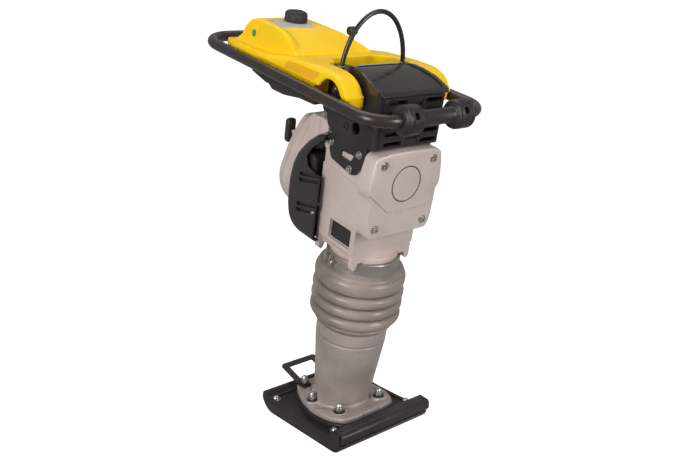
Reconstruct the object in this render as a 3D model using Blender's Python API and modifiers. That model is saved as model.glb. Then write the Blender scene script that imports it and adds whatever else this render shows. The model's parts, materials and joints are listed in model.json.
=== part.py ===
"""Jumping jack rammer: a two-stroke engine lifts and throws a sprung shoe.

All helpers take millimetres and degrees and convert to metres and radians.
The foot is modelled upright.  Everything above it leans forward with the ram
leg, so it hangs under the empty "lean", whose local Z runs up the leg, local
X to the operator's left and local -Y to the front.
"""
import math

import bmesh
import bpy

MM = 0.001
GAP = 0.3                      # clearance left between touching pieces

# Ram leg and stance
LEAN_ANGLE = 13.5              # forward lean of the leg from vertical
LEAN_FOOT_Y = 22.0             # where the leg's axis meets the ground

# Shoe
SHOE_HALF_WIDTH = 140.0
SHOE_FLAT_FRONT = -126.0       # the sole is flat between these two
SHOE_FLAT_REAR = 122.0
SHOE_FRONT_CURL = 40.0
SHOE_REAR_CURL = 45.0
SOLE_THICKNESS = 4.0
DECK_Z = 28.0
PAD_Z = 38.0
FLANGE_Z = 52.0
FLANGE_HALF = [(0, -106), (47, -108), (77, -102), (93, -78), (102, -50), (104, -2),
               (92, 50), (73, 96), (49, 136), (0, 138)]
FOOT_STUDS = [(64.5, -64), (-64.5, -64), (76, 30), (-76, 30), (41, 110), (-41, 110)]
BRACKET_THICKNESS = 6.0

# Leg, along the leaning axis
LEG_CAVITY_R = 61.0
LEG_CAVITY_FLOOR = 74.0
CYLINDER_R = 50.0              # outside of the spring cylinder
CYLINDER_BORE = 44.0
CYLINDER_TOP = 315.0
ROD_R = 14.0
PISTON_Z = 191.0
PISTON_THICKNESS = 10.0
SPRING_R = 32.0
SPRING_WIRE_R = 4.0
FLAT_TURN = 0.6                # share of a turn that lies flat at a spring's end
GUIDE_BORE = CYLINDER_R + GAP
GUIDE_R = 57.0
CLEVIS_BASE_Z = 346.0
WRIST_Z = 455.0

# Gear case
CASE_HALF = 88.0
CASE_REAR = 76.0
CASE_FRONT = -61.7
COVER_REAR = -62.0
COVER_FRONT = -100.0
COVER_BOLTS = [(-71, 730), (71, 730), (-71, 583.5), (71, 583.5)]
MODULE = 3.0
GEAR_TEETH = 44
PINION_TEETH = 8
CRANK_Z = 666.0
THROW = 25.0
PINION_Z = CRANK_Z - MODULE * (GEAR_TEETH + PINION_TEETH) / 2
GEAR_FRONT, GEAR_REAR = 14.0, 34.0

# Engine
FAN_R = 92.0
CYLINDER_Y = 134.0             # the engine cylinder's axis
FAN_HOUSING_FRONT, FAN_HOUSING_SPLIT, FAN_HOUSING_REAR = 150.0, 200.0, 248.0
GRIP_X, GRIP_Z = -47.0, 682.0

# Handle and tank
HANDLE_R = 13.0
HANDLE_HALF = 158.0
HANDLE_Z = 847.0
HANDLE_FRONT, HANDLE_REAR = -145.0, 528.0
HANDLE_FRONT_BEND, HANDLE_REAR_BEND = 58.0, 82.0
ROLLER_R = 31.0
ARM_HALF = 149.0               # outside of the tank's two arms
ARM_INNER = 103.0
ARM_BOTTOM = 861.5
CAP_X, CAP_Y, CAP_SEAT_Z = -42.0, 300.0, 933.0
THROTTLE_Y, THROTTLE_Z = 330.0, 872.0
LOOP_Y, LOOP_HALF, LOOP_BASE, LOOP_TOP = 61.0, 88.0, 880.0, 1012.0

# How an outline or a turned piece is turned to face along an axis
FACING = {"x": (90, 0, 90), "y": (90, 0, 0), "z": (0, 0, 0)}
ALONG = {"x": (0, 90, 0), "y": (-90, 0, 0), "z": (0, 0, 0)}

COLOURS = {
    "cast_aluminium": ((0.46, 0.41, 0.39), 0.45, 0.7),
    "zinc_steel": ((0.62, 0.60, 0.58), 0.3, 1.0),
    "dark_steel": ((0.05, 0.045, 0.042), 0.45, 0.8),
    "spring_steel": ((0.25, 0.25, 0.26), 0.35, 1.0),
    "tank_yellow": ((0.95, 0.58, 0.012), 0.35, 0.0),
    "black_plastic": ((0.03, 0.028, 0.027), 0.5, 0.0),
    "black_paint": ((0.02, 0.018, 0.018), 0.35, 0.0),
    "grey_rubber": ((0.16, 0.14, 0.13), 0.55, 0.0),
    "shoe_plastic": ((0.04, 0.03, 0.03), 0.6, 0.0),
    "filter_foam": ((0.6, 0.5, 0.3), 0.9, 0.0),
    "rope": ((0.5, 0.48, 0.45), 0.9, 0.0),
    "white_ceramic": ((0.85, 0.85, 0.82), 0.3, 0.0),
}


# ---------------------------------------------------------------- helpers

def start_scene():
    for old in list(bpy.data.objects):
        bpy.data.objects.remove(old)
    for name in ("jumping_jack_rammer", "cutters"):
        collection = bpy.data.collections.new(name)
        bpy.context.scene.collection.children.link(collection)
    lean = bpy.data.objects.new("lean", None)
    lean.location = (0, LEAN_FOOT_Y * MM, 0)
    lean.rotation_euler = (math.radians(LEAN_ANGLE), 0, 0)
    bpy.data.collections["jumping_jack_rammer"].objects.link(lean)
    return lean


def material(name):
    found = bpy.data.materials.get(name)
    if found:
        return found
    colour, roughness, metallic = COLOURS[name]
    made = bpy.data.materials.new(name)
    made.use_nodes = True
    shader = made.node_tree.nodes["Principled BSDF"]
    shader.inputs["Base Color"].default_value = (*colour, 1)
    shader.inputs["Roughness"].default_value = roughness
    shader.inputs["Metallic"].default_value = metallic
    made.diffuse_color = (*colour, 1)
    return made


def place(name, data, finish, at, turn, upright):
    """Links a new object; finish None makes it a cutter or a piece to be joined."""
    obj = bpy.data.objects.new(name, data)
    obj.location = [value * MM for value in at]
    obj.rotation_euler = [math.radians(value) for value in turn]
    obj.parent = None if upright else LEAN
    if finish:
        data.materials.append(material(finish))
        bpy.data.collections["jumping_jack_rammer"].objects.link(obj)
    else:
        obj.display_type = "WIRE"
        obj.hide_render = True
        bpy.data.collections["cutters"].objects.link(obj)
    return obj


def smooth(obj, angle=35):
    obj.data.shade_smooth()
    obj.data.set_sharp_from_angle(angle=math.radians(angle))


def bevel(obj, width, segments=2, angle=40):
    modifier = obj.modifiers.new("Bevel", "BEVEL")
    modifier.width = width * MM
    modifier.segments = segments
    modifier.limit_method = "ANGLE"
    modifier.angle_limit = math.radians(angle)
    return obj


def box(name, low, high, finish=None, upright=False):
    """A box between two corners."""
    size = [b - a for a, b in zip(low, high)]
    centre = [(a + b) / 2 for a, b in zip(low, high)]
    bm = bmesh.new()
    bmesh.ops.create_cube(bm, size=MM)
    bmesh.ops.scale(bm, vec=size, verts=bm.verts)
    mesh = bpy.data.meshes.new(name)
    bm.to_mesh(mesh)
    bm.free()
    return place(name, mesh, finish, centre, (0, 0, 0), upright)


def turned(name, profile, finish=None, at=(0, 0, 0), along="z", steps=20, ring=False,
           upright=False):
    """A lathed piece; the profile is (radius, height), top to bottom on its outer side."""
    mesh = bpy.data.meshes.new(name)
    edges = [(i, i + 1) for i in range(len(profile) - 1)]
    if ring:
        edges.append((len(profile) - 1, 0))
    mesh.from_pydata([(r * MM, 0, z * MM) for r, z in profile], edges, [])
    obj = place(name, mesh, finish, at, ALONG[along], upright)
    screw = obj.modifiers.new("Screw", "SCREW")
    screw.steps = screw.render_steps = steps
    screw.use_merge_vertices = True
    screw.merge_threshold = 0.00001
    screw.use_smooth_shade = True
    return obj


def cylinder(name, radius, low, high, finish=None, at=(0, 0, 0), along="z", steps=20,
             upright=False):
    """A plain round bar from low to high on its own axis."""
    return turned(name, [(0, high), (radius, high), (radius, low), (0, low)], finish, at,
                  along, steps, upright=upright)


def ring(name, inner, outer, low, high, finish=None, at=(0, 0, 0), along="z", steps=20):
    profile = [(inner, high), (outer, high), (outer, low), (inner, low)]
    return turned(name, profile, finish, at, along, steps, ring=True)


def as_mesh(curve_object, finish):
    """Turns a curve into a welded closed mesh, so that it can be cut and joined."""
    bpy.context.view_layer.update()
    graph = bpy.context.evaluated_depsgraph_get()
    mesh = bpy.data.meshes.new_from_object(curve_object.evaluated_get(graph))
    bm = bmesh.new()
    bm.from_mesh(mesh)
    bmesh.ops.remove_doubles(bm, verts=bm.verts, dist=0.000001)
    bmesh.ops.dissolve_limit(bm, angle_limit=0.001, verts=bm.verts, edges=bm.edges)
    bmesh.ops.recalc_face_normals(bm, faces=bm.faces)
    bm.to_mesh(mesh)
    bm.free()
    mesh.materials.clear()
    name, matrix = curve_object.name, curve_object.matrix_world.copy()
    bpy.data.objects.remove(curve_object)
    solid = place(name, mesh, finish, (0, 0, 0), (0, 0, 0), upright=True)
    solid.matrix_world = matrix
    return solid


def plate(name, points, low, high, facing, finish=None, offset=(0, 0), upright=False):
    """A flat outline made thick between low and high along the facing axis.

    The outline's points are (x, z) for "y", (y, z) for "x" and (x, y) for "z".
    """
    curve = bpy.data.curves.new(name, "CURVE")
    curve.dimensions = "2D"
    curve.fill_mode = "BOTH"
    curve.extrude = (high - low) / 2 * MM
    spline = curve.splines.new("POLY")
    spline.points.add(len(points) - 1)
    for point, (a, b) in zip(spline.points, points):
        point.co = ((a + offset[0]) * MM, (b + offset[1]) * MM, 0, 1)
    spline.use_cyclic_u = True
    middle = (low + high) / 2
    at = {"x": (middle, 0, 0), "y": (0, middle, 0), "z": (0, 0, middle)}[facing]
    obj = place(name, curve, None, at, FACING[facing], upright)
    return as_mesh(obj, finish)


def tube(name, points, radius, finish, closed=False, resolution=4, upright=False):
    curve = bpy.data.curves.new(name, "CURVE")
    curve.dimensions = "3D"
    curve.bevel_depth = radius * MM
    curve.bevel_resolution = resolution
    curve.use_fill_caps = not closed
    spline = curve.splines.new("POLY")
    spline.points.add(len(points) - 1)
    for point, co in zip(spline.points, points):
        point.co = (*[value * MM for value in co], 1)
    spline.use_cyclic_u = closed
    return place(name, curve, finish, (0, 0, 0), (0, 0, 0), upright)


def combine(target, tool, operation):
    modifier = target.modifiers.new(operation.title(), "BOOLEAN")
    modifier.operation = operation
    modifier.object = tool
    return target


def cut(target, *tools):
    for tool in tools:
        combine(target, tool, "DIFFERENCE")
    return target


def join(target, *tools):
    for tool in tools:
        combine(target, tool, "UNION")
    return target


def keep_common(target, tool):
    return combine(target, tool, "INTERSECT")


def arc(cx, cy, radius, start, end, steps):
    """Points on an arc, in degrees, both ends included."""
    angles = [math.radians(start + (end - start) * i / steps) for i in range(steps + 1)]
    return [(cx + radius * math.cos(a), cy + radius * math.sin(a)) for a in angles]


def mirrored(half):
    """Closes an outline whose right half runs between two points on its middle line."""
    left = [(-x, y) for x, y in reversed(half) if x]
    return half + left


def rounded_box(x0, y0, x1, y1, radius, steps=4):
    return (arc(x1 - radius, y1 - radius, radius, 0, 90, steps)
            + arc(x0 + radius, y1 - radius, radius, 90, 180, steps)
            + arc(x0 + radius, y0 + radius, radius, 180, 270, steps)
            + arc(x1 - radius, y0 + radius, radius, 270, 360, steps))


def slot_outline(cx, cy, length, height):
    reach = (length - height) / 2
    return (arc(cx + reach, cy, height / 2, -90, 90, 2)
            + arc(cx - reach, cy, height / 2, 90, 270, 2))


# ------------------------------------------------------------------- foot

def sole_plate():
    """Steel wear plate, curled up at both ends."""
    def line(inset):
        front = arc(SHOE_FLAT_FRONT, SHOE_FRONT_CURL, SHOE_FRONT_CURL - inset, 202, 270, 6)
        rear = arc(SHOE_FLAT_REAR, SHOE_REAR_CURL, SHOE_REAR_CURL - inset, 270, 350, 6)
        return front + rear
    outline = line(0) + list(reversed(line(SOLE_THICKNESS)))
    reach = SHOE_HALF_WIDTH - 1
    plate("sole_plate", outline, -reach, reach, "x", "dark_steel", upright=True)


def shoe_body():
    """Moulded shoe: a round front roll, a low deck, raised rims and a pad for the leg."""
    inset = SOLE_THICKNESS + GAP
    outline = (arc(SHOE_FLAT_FRONT, SHOE_FRONT_CURL, SHOE_FRONT_CURL - inset, 185, 270, 6)
               + arc(SHOE_FLAT_REAR, SHOE_REAR_CURL, SHOE_REAR_CURL - inset, 270, 358, 6)
               + [(161, 50), (152, 46), (142, 36), (104, 33), (20, DECK_Z), (-60, DECK_Z),
                  (-112, DECK_Z + 3), (-119, 40), (-128, 52), (-140, 56), (-153, 54)])
    body = plate("shoe_body", outline, -SHOE_HALF_WIDTH, SHOE_HALF_WIDTH, "x",
                 "shoe_plastic", upright=True)
    pad = plate("shoe_pad", mirrored([(x * 1.04, y * 1.02 - 1) for x, y in FLANGE_HALF]),
                DECK_Z - 10, PAD_Z, "z", upright=True)
    join(body, pad)


def shoe_nose_bar():
    """Angular steel bar over the shoe's front edge."""
    outline = [(-137, 57), (-138, 60.5), (-166, 57.5), (-171, 52), (-169.5, 33),
               (-165, 33), (-165.2, 50.5), (-160, 55.5)]
    plate("shoe_nose_bar", outline, -SHOE_HALF_WIDTH, SHOE_HALF_WIDTH, "x", "dark_steel",
          upright=True)


def leg_casting():
    """Conical leg on an eight-sided flange, hollow and open at the top."""
    cone = turned("leg_casting", [(0, 300), (79.7, 300), (79.7, 251), (86, 250), (87, 247),
                                  (72.6, 88), (70, 60), (69, 15), (0, 15)],
                  "cast_aluminium")
    below = box("leg_trim", (-120, -160, -40), (120, 160, PAD_Z + GAP), upright=True)
    cavity = cylinder("leg_cavity", LEG_CAVITY_R, LEG_CAVITY_FLOOR, 310)
    flange = plate("leg_flange", mirrored(FLANGE_HALF), PAD_Z - 5, FLANGE_Z, "z",
                   upright=True)
    join(cone, flange)
    cut(cone, below, cavity)
    for x, y in FOOT_STUDS[2:4]:
        cut(cone, cylinder("nut_pocket", 13, FLANGE_Z + 0.1, 82, at=(x, y, 0), steps=16,
                           upright=True))


def foot_nuts():
    """Domed nut on a rubber washer, six on the flange's studs."""
    profile = [(0, 24), (4, 22.5), (6, 19), (6, 14), (9, 14), (9, 4), (12, 4), (12, 0), (0, 0)]
    for number, (x, y) in enumerate(FOOT_STUDS, 1):
        top = FLANGE_Z + GAP + (BRACKET_THICKNESS + GAP if number > 4 else 0)
        turned(f"foot_nut_{number}", profile, "zinc_steel", (x, y, top), steps=8,
               upright=True)


def foot_bracket():
    """Flat-bar loop at the rear of the foot, held under the two rear nuts."""
    outer = mirrored([(0, 78), (50, 78), (56, 72), (53, -3), (0, -3)])
    inner = mirrored([(0, 66), (43, 66), (41, -20), (0, -20)])
    half = BRACKET_THICKNESS / 2
    loop = plate("foot_bracket", outer, -half, half, "z", "black_paint", upright=True)
    hole = plate("foot_bracket_hole", inner, -15, 15, "z", upright=True)
    for piece in (loop, hole):
        piece.rotation_euler.x = math.radians(20)
        piece.location = (0, 126 * MM, 57.5 * MM)
    cut(loop, hole)
    low = FLANGE_Z + GAP
    for side in (-1, 1):
        x0, x1 = sorted((side * 28, side * 52.5))
        join(loop, box("foot_bracket_pad", (x0, 96, low), (x1, 128, low + BRACKET_THICKNESS),
                       upright=True))


# -------------------------------------------------------------- leg inside

def spring_cylinder():
    turned("spring_cylinder", [(0, 84), (CYLINDER_BORE, 84), (CYLINDER_BORE, CYLINDER_TOP),
                               (CYLINDER_R, CYLINDER_TOP), (CYLINDER_R, 84), (58, 82),
                               (58, LEG_CAVITY_FLOOR + GAP), (0, LEG_CAVITY_FLOOR + GAP)],
           "dark_steel")
    top = CYLINDER_TOP + GAP
    turned("cylinder_head", [(15, top + 12), (CYLINDER_R, top + 12), (CYLINDER_R, top),
                             (43.6, top), (43.6, top - 7), (15, top - 7)],
           "zinc_steel", ring=True)


def coil(name, low, high, turns):
    per_turn = 8
    middle_low, middle_high = low + SPRING_WIRE_R + 0.6, high - SPRING_WIRE_R - 0.6
    points = []
    for i in range(turns * per_turn + 1):
        share = i / (turns * per_turn)
        # the last part turns lie flat, as on a ground spring
        rise = min(max((share * turns - FLAT_TURN) / (turns - 2 * FLAT_TURN), 0), 1)
        angle = 2 * math.pi * i / per_turn
        points.append((SPRING_R * math.cos(angle), SPRING_R * math.sin(angle),
                       middle_low + (middle_high - middle_low) * rise))
    tube(name, points, SPRING_WIRE_R, "spring_steel", resolution=1)


def springs():
    coil("lower_spring", 84, PISTON_Z, 4)
    coil("upper_spring", PISTON_Z + PISTON_THICKNESS, CYLINDER_TOP - 7, 4)


def plunger():
    """Piston rod with its spring plate, and the clevis that takes the connecting rod."""
    plate_top = PISTON_Z + PISTON_THICKNESS
    turned("plunger_rod", [(0, CLEVIS_BASE_Z - GAP), (ROD_R, CLEVIS_BASE_Z - GAP),
                           (ROD_R, plate_top), (42.5, plate_top), (42.5, PISTON_Z),
                           (20, PISTON_Z), (20, 178), (0, 178)], "zinc_steel")
    base = cylinder("plunger_clevis", 44, CLEVIS_BASE_Z, CLEVIS_BASE_Z + 12, "dark_steel")
    ear = ([(-24, CLEVIS_BASE_Z + 6), (24, CLEVIS_BASE_Z + 6)]
           + arc(0, WRIST_Z, 17, 0, 180, 8))
    for side in (-1, 1):
        low, high = sorted((side * 11, side * 19))
        join(base, plate("clevis_ear", ear, low, high, "y"))
    cut(base, cylinder("clevis_bore", 8.4, -30, 30, at=(0, 0, WRIST_Z), along="y"))


def bellows():
    """Rubber boot between the leg and the gear case, four folds and two cuffs."""
    folds = [(94, 397), (110, 382), (94, 367), (110, 352), (94, 337), (110, 322), (94, 307)]
    outer = [(84, 478), (84, 445), (100, 440), (107, 430), (107, 410), *folds,
             (97, 300), (85, 289), (83, 284), (83, 252)]
    inner = [(80, 252), (80, 290), (88, 303), (88, 437), (80.3, 441), (80.3, 478)]
    turned("bellows", outer + inner, "grey_rubber", ring=True)
    ring("lower_clamp_band", 83.3, 86.6, 252, 284, "cast_aluminium")
    band = ring("upper_clamp_band", 84.3, 87.5, 449, 476, "zinc_steel")
    turn = math.radians(150)
    centre = (91 * math.sin(turn) * -1, 91 * -math.cos(turn), 462)
    lug = box("clamp_lug", (-16, -4, -11), (16, 5, 11))
    lug.location = [value * MM for value in centre]
    lug.rotation_euler.z = math.radians(30)
    join(band, lug)


# --------------------------------------------------------------- gear case

def gear_case():
    """Cast case: gear chamber above, neck for the guide tube below."""
    outline = mirrored([(0, 750), (80, 750), (CASE_HALF, 742), (CASE_HALF, 512),
                        (79, 494), (76, 482), (0, 482)])
    case = plate("gear_case", outline, CASE_FRONT, CASE_REAR, "y", "cast_aluminium")
    neck = cylinder("case_neck", 80, 438, 489)
    bevel(case, 4, 1, 80)
    join(case, neck)
    chamber = mirrored([(0, 742), (74, 742), (81, 735), (81, 520), (68, 496), (0, 496)])
    opening = mirrored([(0, 740), (73, 740), (79, 734), (79, 572), (0, 572)])
    boss = cylinder("bearing_boss", 30, 42, 72, at=(0, 0, CRANK_Z), along="y")
    boss_bore = cylinder("bearing_boss_bore", 22.3, 40, 66, at=(0, 0, CRANK_Z), along="y")
    shaft_hole = cylinder("pinion_hole", 9, 50, 90, at=(0, 0, PINION_Z), along="y")
    cut(case, plate("case_chamber", chamber, -52, 68, "y"))
    cut(case, plate("case_opening", opening, -70, -45, "y"))
    cut(case, shaft_hole, cylinder("neck_bore", GUIDE_R + GAP, 430, 500))
    for side in (-1, 1):
        x0, x1 = sorted((side * (CASE_HALF - 4), side * (CASE_HALF + 5)))
        cut(case, box("plate_recess", (x0, -47, 514), (x1, 28, 560)))
    join(case, boss)
    cut(case, boss_bore)
    ring("crank_bearing", 12.3, 22, 46, 62, "zinc_steel", (0, 0, CRANK_Z), "y")
    ring("guide_tube", GUIDE_BORE, GUIDE_R, 180, 494, "dark_steel")


def cover():
    """Front cover of the gear case, held by four cap screws."""
    outline = mirrored([(0, 757), (55, 755.5), (86, 751), (94, 745), (101, 715), (105, 678),
                        (103, 664), (97, 657), (96, 594), (92, 572), (84, 561), (0, 560)])
    shell = plate("gear_case_cover", outline, COVER_FRONT, COVER_REAR, "y", "cast_aluminium")
    bevel(shell, 4, 1, 60)
    hollow = mirrored([(0, 748), (82, 742), (88, 734), (88, 600), (82, 572), (0, 570)])
    cut(shell, plate("cover_hollow", hollow, COVER_FRONT + 8, COVER_REAR + 5, "y"))
    emblem = ring("emblem_ring", 37, 42, -COVER_FRONT - 2, -COVER_FRONT + 1.2,
                  at=(0, 0, 681))
    emblem.rotation_euler.x = math.radians(90)
    join(shell, emblem)
    for number, (x, z) in enumerate(COVER_BOLTS, 1):
        bore = cylinder("cover_bolt_hole", 4.4, -110, -90, at=(x, 0, z), along="y", steps=10)
        cut(shell, bore)
        head = COVER_FRONT - GAP
        turned(f"cover_bolt_{number}", [(0, head + 12), (4, head + 12), (4, head),
                                        (7, head), (7, head - 6), (4, head - 6),
                                        (3.5, head - 3), (0, head - 3)],
               "zinc_steel", (x, 0, z), "y", 10)


def gear_outline(teeth, backlash):
    """Trapezoid teeth on a pitch circle of the shared module."""
    pitch = MODULE * teeth / 2
    points = []
    for i in range(teeth):
        middle = 2 * math.pi * i / teeth
        for share, radius in ((-0.25, pitch - 1.2 * MODULE), (-0.12, pitch + 0.8 * MODULE),
                              (0.12, pitch + 0.8 * MODULE), (0.25, pitch - 1.2 * MODULE)):
            angle = middle + 2 * math.pi / teeth * share * (1 - backlash)
            points.append((radius * math.cos(angle), radius * math.sin(angle)))
    return points


def crank():
    """Crank gear with its overhung pin, and the rod that hangs on the pin."""
    # half a tooth of turn keeps a gap at the bottom, where the pinion's tooth stands
    shift = math.pi / GEAR_TEETH
    outline = [(x * math.cos(shift) - z * math.sin(shift),
                x * math.sin(shift) + z * math.cos(shift))
               for x, z in gear_outline(GEAR_TEETH, 0.25)]
    gear = plate("crank_gear", outline, GEAR_FRONT, GEAR_REAR, "y", "dark_steel",
                 offset=(0, CRANK_Z))
    shaft = cylinder("crank_shaft", 12, GEAR_REAR - 5, 64, at=(0, 0, CRANK_Z), along="y")
    pin = cylinder("crank_pin", 12, -13, GEAR_FRONT + 5, at=(0, 0, CRANK_Z + THROW),
                   along="y")
    join(gear, shaft, pin)
    for angle in (210, 270, 330):
        x, z = 40 * math.cos(math.radians(angle)), 40 * math.sin(math.radians(angle))
        cut(gear, cylinder("gear_hole", 12, 0, 50, at=(x, 0, CRANK_Z + z), along="y",
                           steps=10))

    pin_z = CRANK_Z + THROW
    rod = ring("connecting_rod", 12.3, 22, -9, 9, "dark_steel", (0, 0, pin_z), "y")
    web = plate("rod_web", [(-9, WRIST_Z + 10), (9, WRIST_Z + 10), (12, pin_z - 18),
                            (-12, pin_z - 18)], -6, 6, "y")
    small_end = ring("rod_small_end", 8.3, 15, -9, 9, None, (0, 0, WRIST_Z), "y")
    join(rod, web, small_end)
    cylinder("wrist_pin", 8, -10.5, 10.5, "zinc_steel", (0, 0, WRIST_Z), "y")


def pinion():
    outline = gear_outline(PINION_TEETH, 0.25)
    turn = math.radians(90)
    outline = [(x * math.cos(turn) - z * math.sin(turn),
                x * math.sin(turn) + z * math.cos(turn)) for x, z in outline]
    teeth = plate("pinion_shaft", outline, GEAR_FRONT, GEAR_REAR, "y", "zinc_steel",
                  offset=(0, PINION_Z))
    join(teeth, cylinder("pinion_bar", 8, GEAR_REAR - 5, 92, at=(0, 0, PINION_Z),
                         along="y"))
    turned("clutch_drum", [(14, 93), (14, 88), (43, 88), (43, 108), (46, 108), (46, 84),
                           (8.3, 84), (8.3, 93)], "dark_steel", (0, 0, PINION_Z), "y",
           ring=True)


# ------------------------------------------------------------------ engine

def engine():
    """Engine block round the clutch, finned cylinder, plug, carburettor and muffler."""
    axis = (0, 0, PINION_Z)
    turned("engine_block", [(9, 148), (46, 148), (46, 116), (60, 112), (60, 76.3),
                            (50, 76.3), (50, 110), (9, 110), (9, 114), (38, 116),
                            (38, 144), (9, 144)], "cast_aluminium", axis, "y", ring=True)
    turned("engine_crankshaft", [(0, 196), (7, 196), (7, 142.5), (30, 142.5), (30, 134),
                                 (10, 134), (10, 126), (30, 126), (30, 117.5), (8, 117.5),
                                 (8, 107), (40, 107), (40, 94), (0, 94)], "zinc_steel",
           axis, "y")
    fins = []
    low, high, count = 649.0, 732.0, 5
    pitch = (high - low) / count
    for i in range(count):
        top = high - i * pitch
        fins += [(30, top), (30, top - 5), (21, top - 5), (21, top - pitch)]
    foot = PINION_Z + 46 + GAP
    turned("engine_cylinder", [(0, high), *fins, (17, low), (17, foot), (13, foot), (13, high - 12),
                               (0, high - 12)], "cast_aluminium", (0, CYLINDER_Y, 0),
           steps=12)
    turned("spark_plug", [(0, 764), (3, 764), (3, 757), (5, 755), (5, 745), (9, 745),
                          (9, 738), (7, 738), (7, high + GAP), (0, high + GAP)],
           "white_ceramic", (0, CYLINDER_Y, 0), steps=12)
    carburettor = box("carburettor", (44, 108, 650), (78, 146, 697), "cast_aluminium")
    join(carburettor, cylinder("intake_stub", 10, 30.8, 50, at=(0, CYLINDER_Y, 680), along="x",
                               steps=16),
         cylinder("float_bowl", 14, 636, 655, at=(62, 127, 0), steps=16))
    muffler = plate("muffler", rounded_box(92, 560, 146, 688, 16), -102, -64, "x",
                    "dark_steel")
    bevel(muffler, 6, 2)
    join(muffler, cylinder("exhaust_stub", 10, -70, -30.8, at=(0, CYLINDER_Y, 668), along="x",
                           steps=16))


def guard_outline(grow):
    """Side view of the muffler guard, (y, z)."""
    line = [(80, 745), (88, 742), (122, 714), (150, 682), (166, 650), (174, 610),
            (173, 546), (163, 513), (144, 495), (120, 488), (80, 488)]
    centre_y, centre_z = 115, 615
    return [(y + grow * math.copysign(1, y - centre_y),
             z + grow * math.copysign(1, z - centre_z)) for y, z in line]


def muffler_guard():
    guard = plate("muffler_guard", guard_outline(0), -113, -62, "x", "black_plastic")
    bevel(guard, 12, 2, 50)
    cut(guard, plate("guard_hollow", guard_outline(-3.5), -109, -50, "x"))
    cut(guard, box("guard_relief", (-97, 149, 470), (-50, 190, 760)))
    for z in (572, 586, 642, 656):
        cut(guard, plate("guard_slot", slot_outline(133, z, 50, 6), -125, -105, "x"))
    window = [(84, 726), (96, 712), (112, 700), (126, 680), (118, 664), (84, 664)]
    cut(guard, plate("guard_window", window, -125, -60, "x"))


def housing_outline(radius):
    """Rear view of the engine's fan housing: a circle drawn up to a narrow top."""
    inset = FAN_R - radius
    top = [(74 - inset, 660), (58 - inset, 694), (42 - inset, 722), (28 - inset, 736 - inset)]
    circle = arc(0, PINION_Z, radius, 25, -205, 14)
    return [(-x, z) for x, z in top] + top[::-1] + circle


def fan_housing():
    front, split, rear = FAN_HOUSING_FRONT, FAN_HOUSING_SPLIT, FAN_HOUSING_REAR
    outer, inner = housing_outline(FAN_R), housing_outline(FAN_R - 6)
    shroud = plate("fan_shroud", outer, front, split, "y", "cast_aluminium")
    cut(shroud, plate("fan_space", inner, front + 5, split + 10, "y"),
        cylinder("fan_shroud_eye", 40, front - 10, front + 20, at=(0, 0, PINION_Z),
                 along="y"))
    cowl = box("cylinder_cowl", (-85, 80.5, 700), (85, front + 2, 772))
    join(shroud, bevel(cowl, 6, 2))
    cut(shroud, box("cowl_space", (-81, 60, 660), (81, front - 3, 768)))
    cut(shroud, box("cowl_vent", (-36, front - 10, 630), (36, front + 17, 738)))
    cut(shroud, plate("cowl_notch", guard_outline(1.5), -120, -57, "x"))

    starter = plate("starter_housing", outer, split + GAP, rear, "y", "cast_aluminium")
    bevel(starter, 9, 2, 60)
    post = cylinder("pulley_post", 6, 206, rear - 4, at=(0, 0, PINION_Z), along="y")
    cut(starter, plate("starter_space", inner, split - 10, rear - 5, "y"))
    join(starter, post)
    for i in range(8):
        turn = math.radians(45 * i + 22.5)
        x, z = 60 * math.sin(turn), 60 * math.cos(turn)
        cut(starter, cylinder("air_hole", 10, rear - 15, rear + 10, at=(x, 0, PINION_Z + z),
                              along="y", steps=8))
    cut(starter, cylinder("rope_eye", 4, rear - 15, rear + 10, at=(GRIP_X, 0, GRIP_Z),
                          along="y", steps=10))


def flywheel_and_starter():
    axis = (0, 0, PINION_Z)
    fan = ring("flywheel_fan", 7.3, 76, 166, 172, "cast_aluminium", axis, "y")
    blades = []
    for i in range(12):
        middle = 30 * i
        for turn, radius in ((-12, 24), (-2, 74), (2, 74), (12, 24)):
            angle = math.radians(middle + turn)
            blades.append((radius * math.cos(angle), radius * math.sin(angle)))
    star = plate("fan_blades", blades, 170, 190, "y", offset=(0, PINION_Z))
    join(fan, star)
    cut(fan, cylinder("fan_bore", 7.6, 160, 195, at=axis, along="y"))
    turned("starter_pulley", [(6.3, 219), (45, 219), (45, 216), (36, 214), (36, 210),
                              (45, 208), (45, 205), (6.3, 205)], "black_plastic", axis, "y",
           ring=True)
    rear = FAN_HOUSING_REAR
    grip = box("starter_grip", (GRIP_X - 12, rear + 14, GRIP_Z - 30),
               (GRIP_X + 12, rear + 34, GRIP_Z + 30), "black_plastic")
    bevel(grip, 7, 2)
    cylinder("starter_rope", 2.2, rear - 14, rear + 14 - GAP, "rope", (GRIP_X, 0, GRIP_Z),
             "y", 10)


# ----------------------------------------------------------------- console

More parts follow.
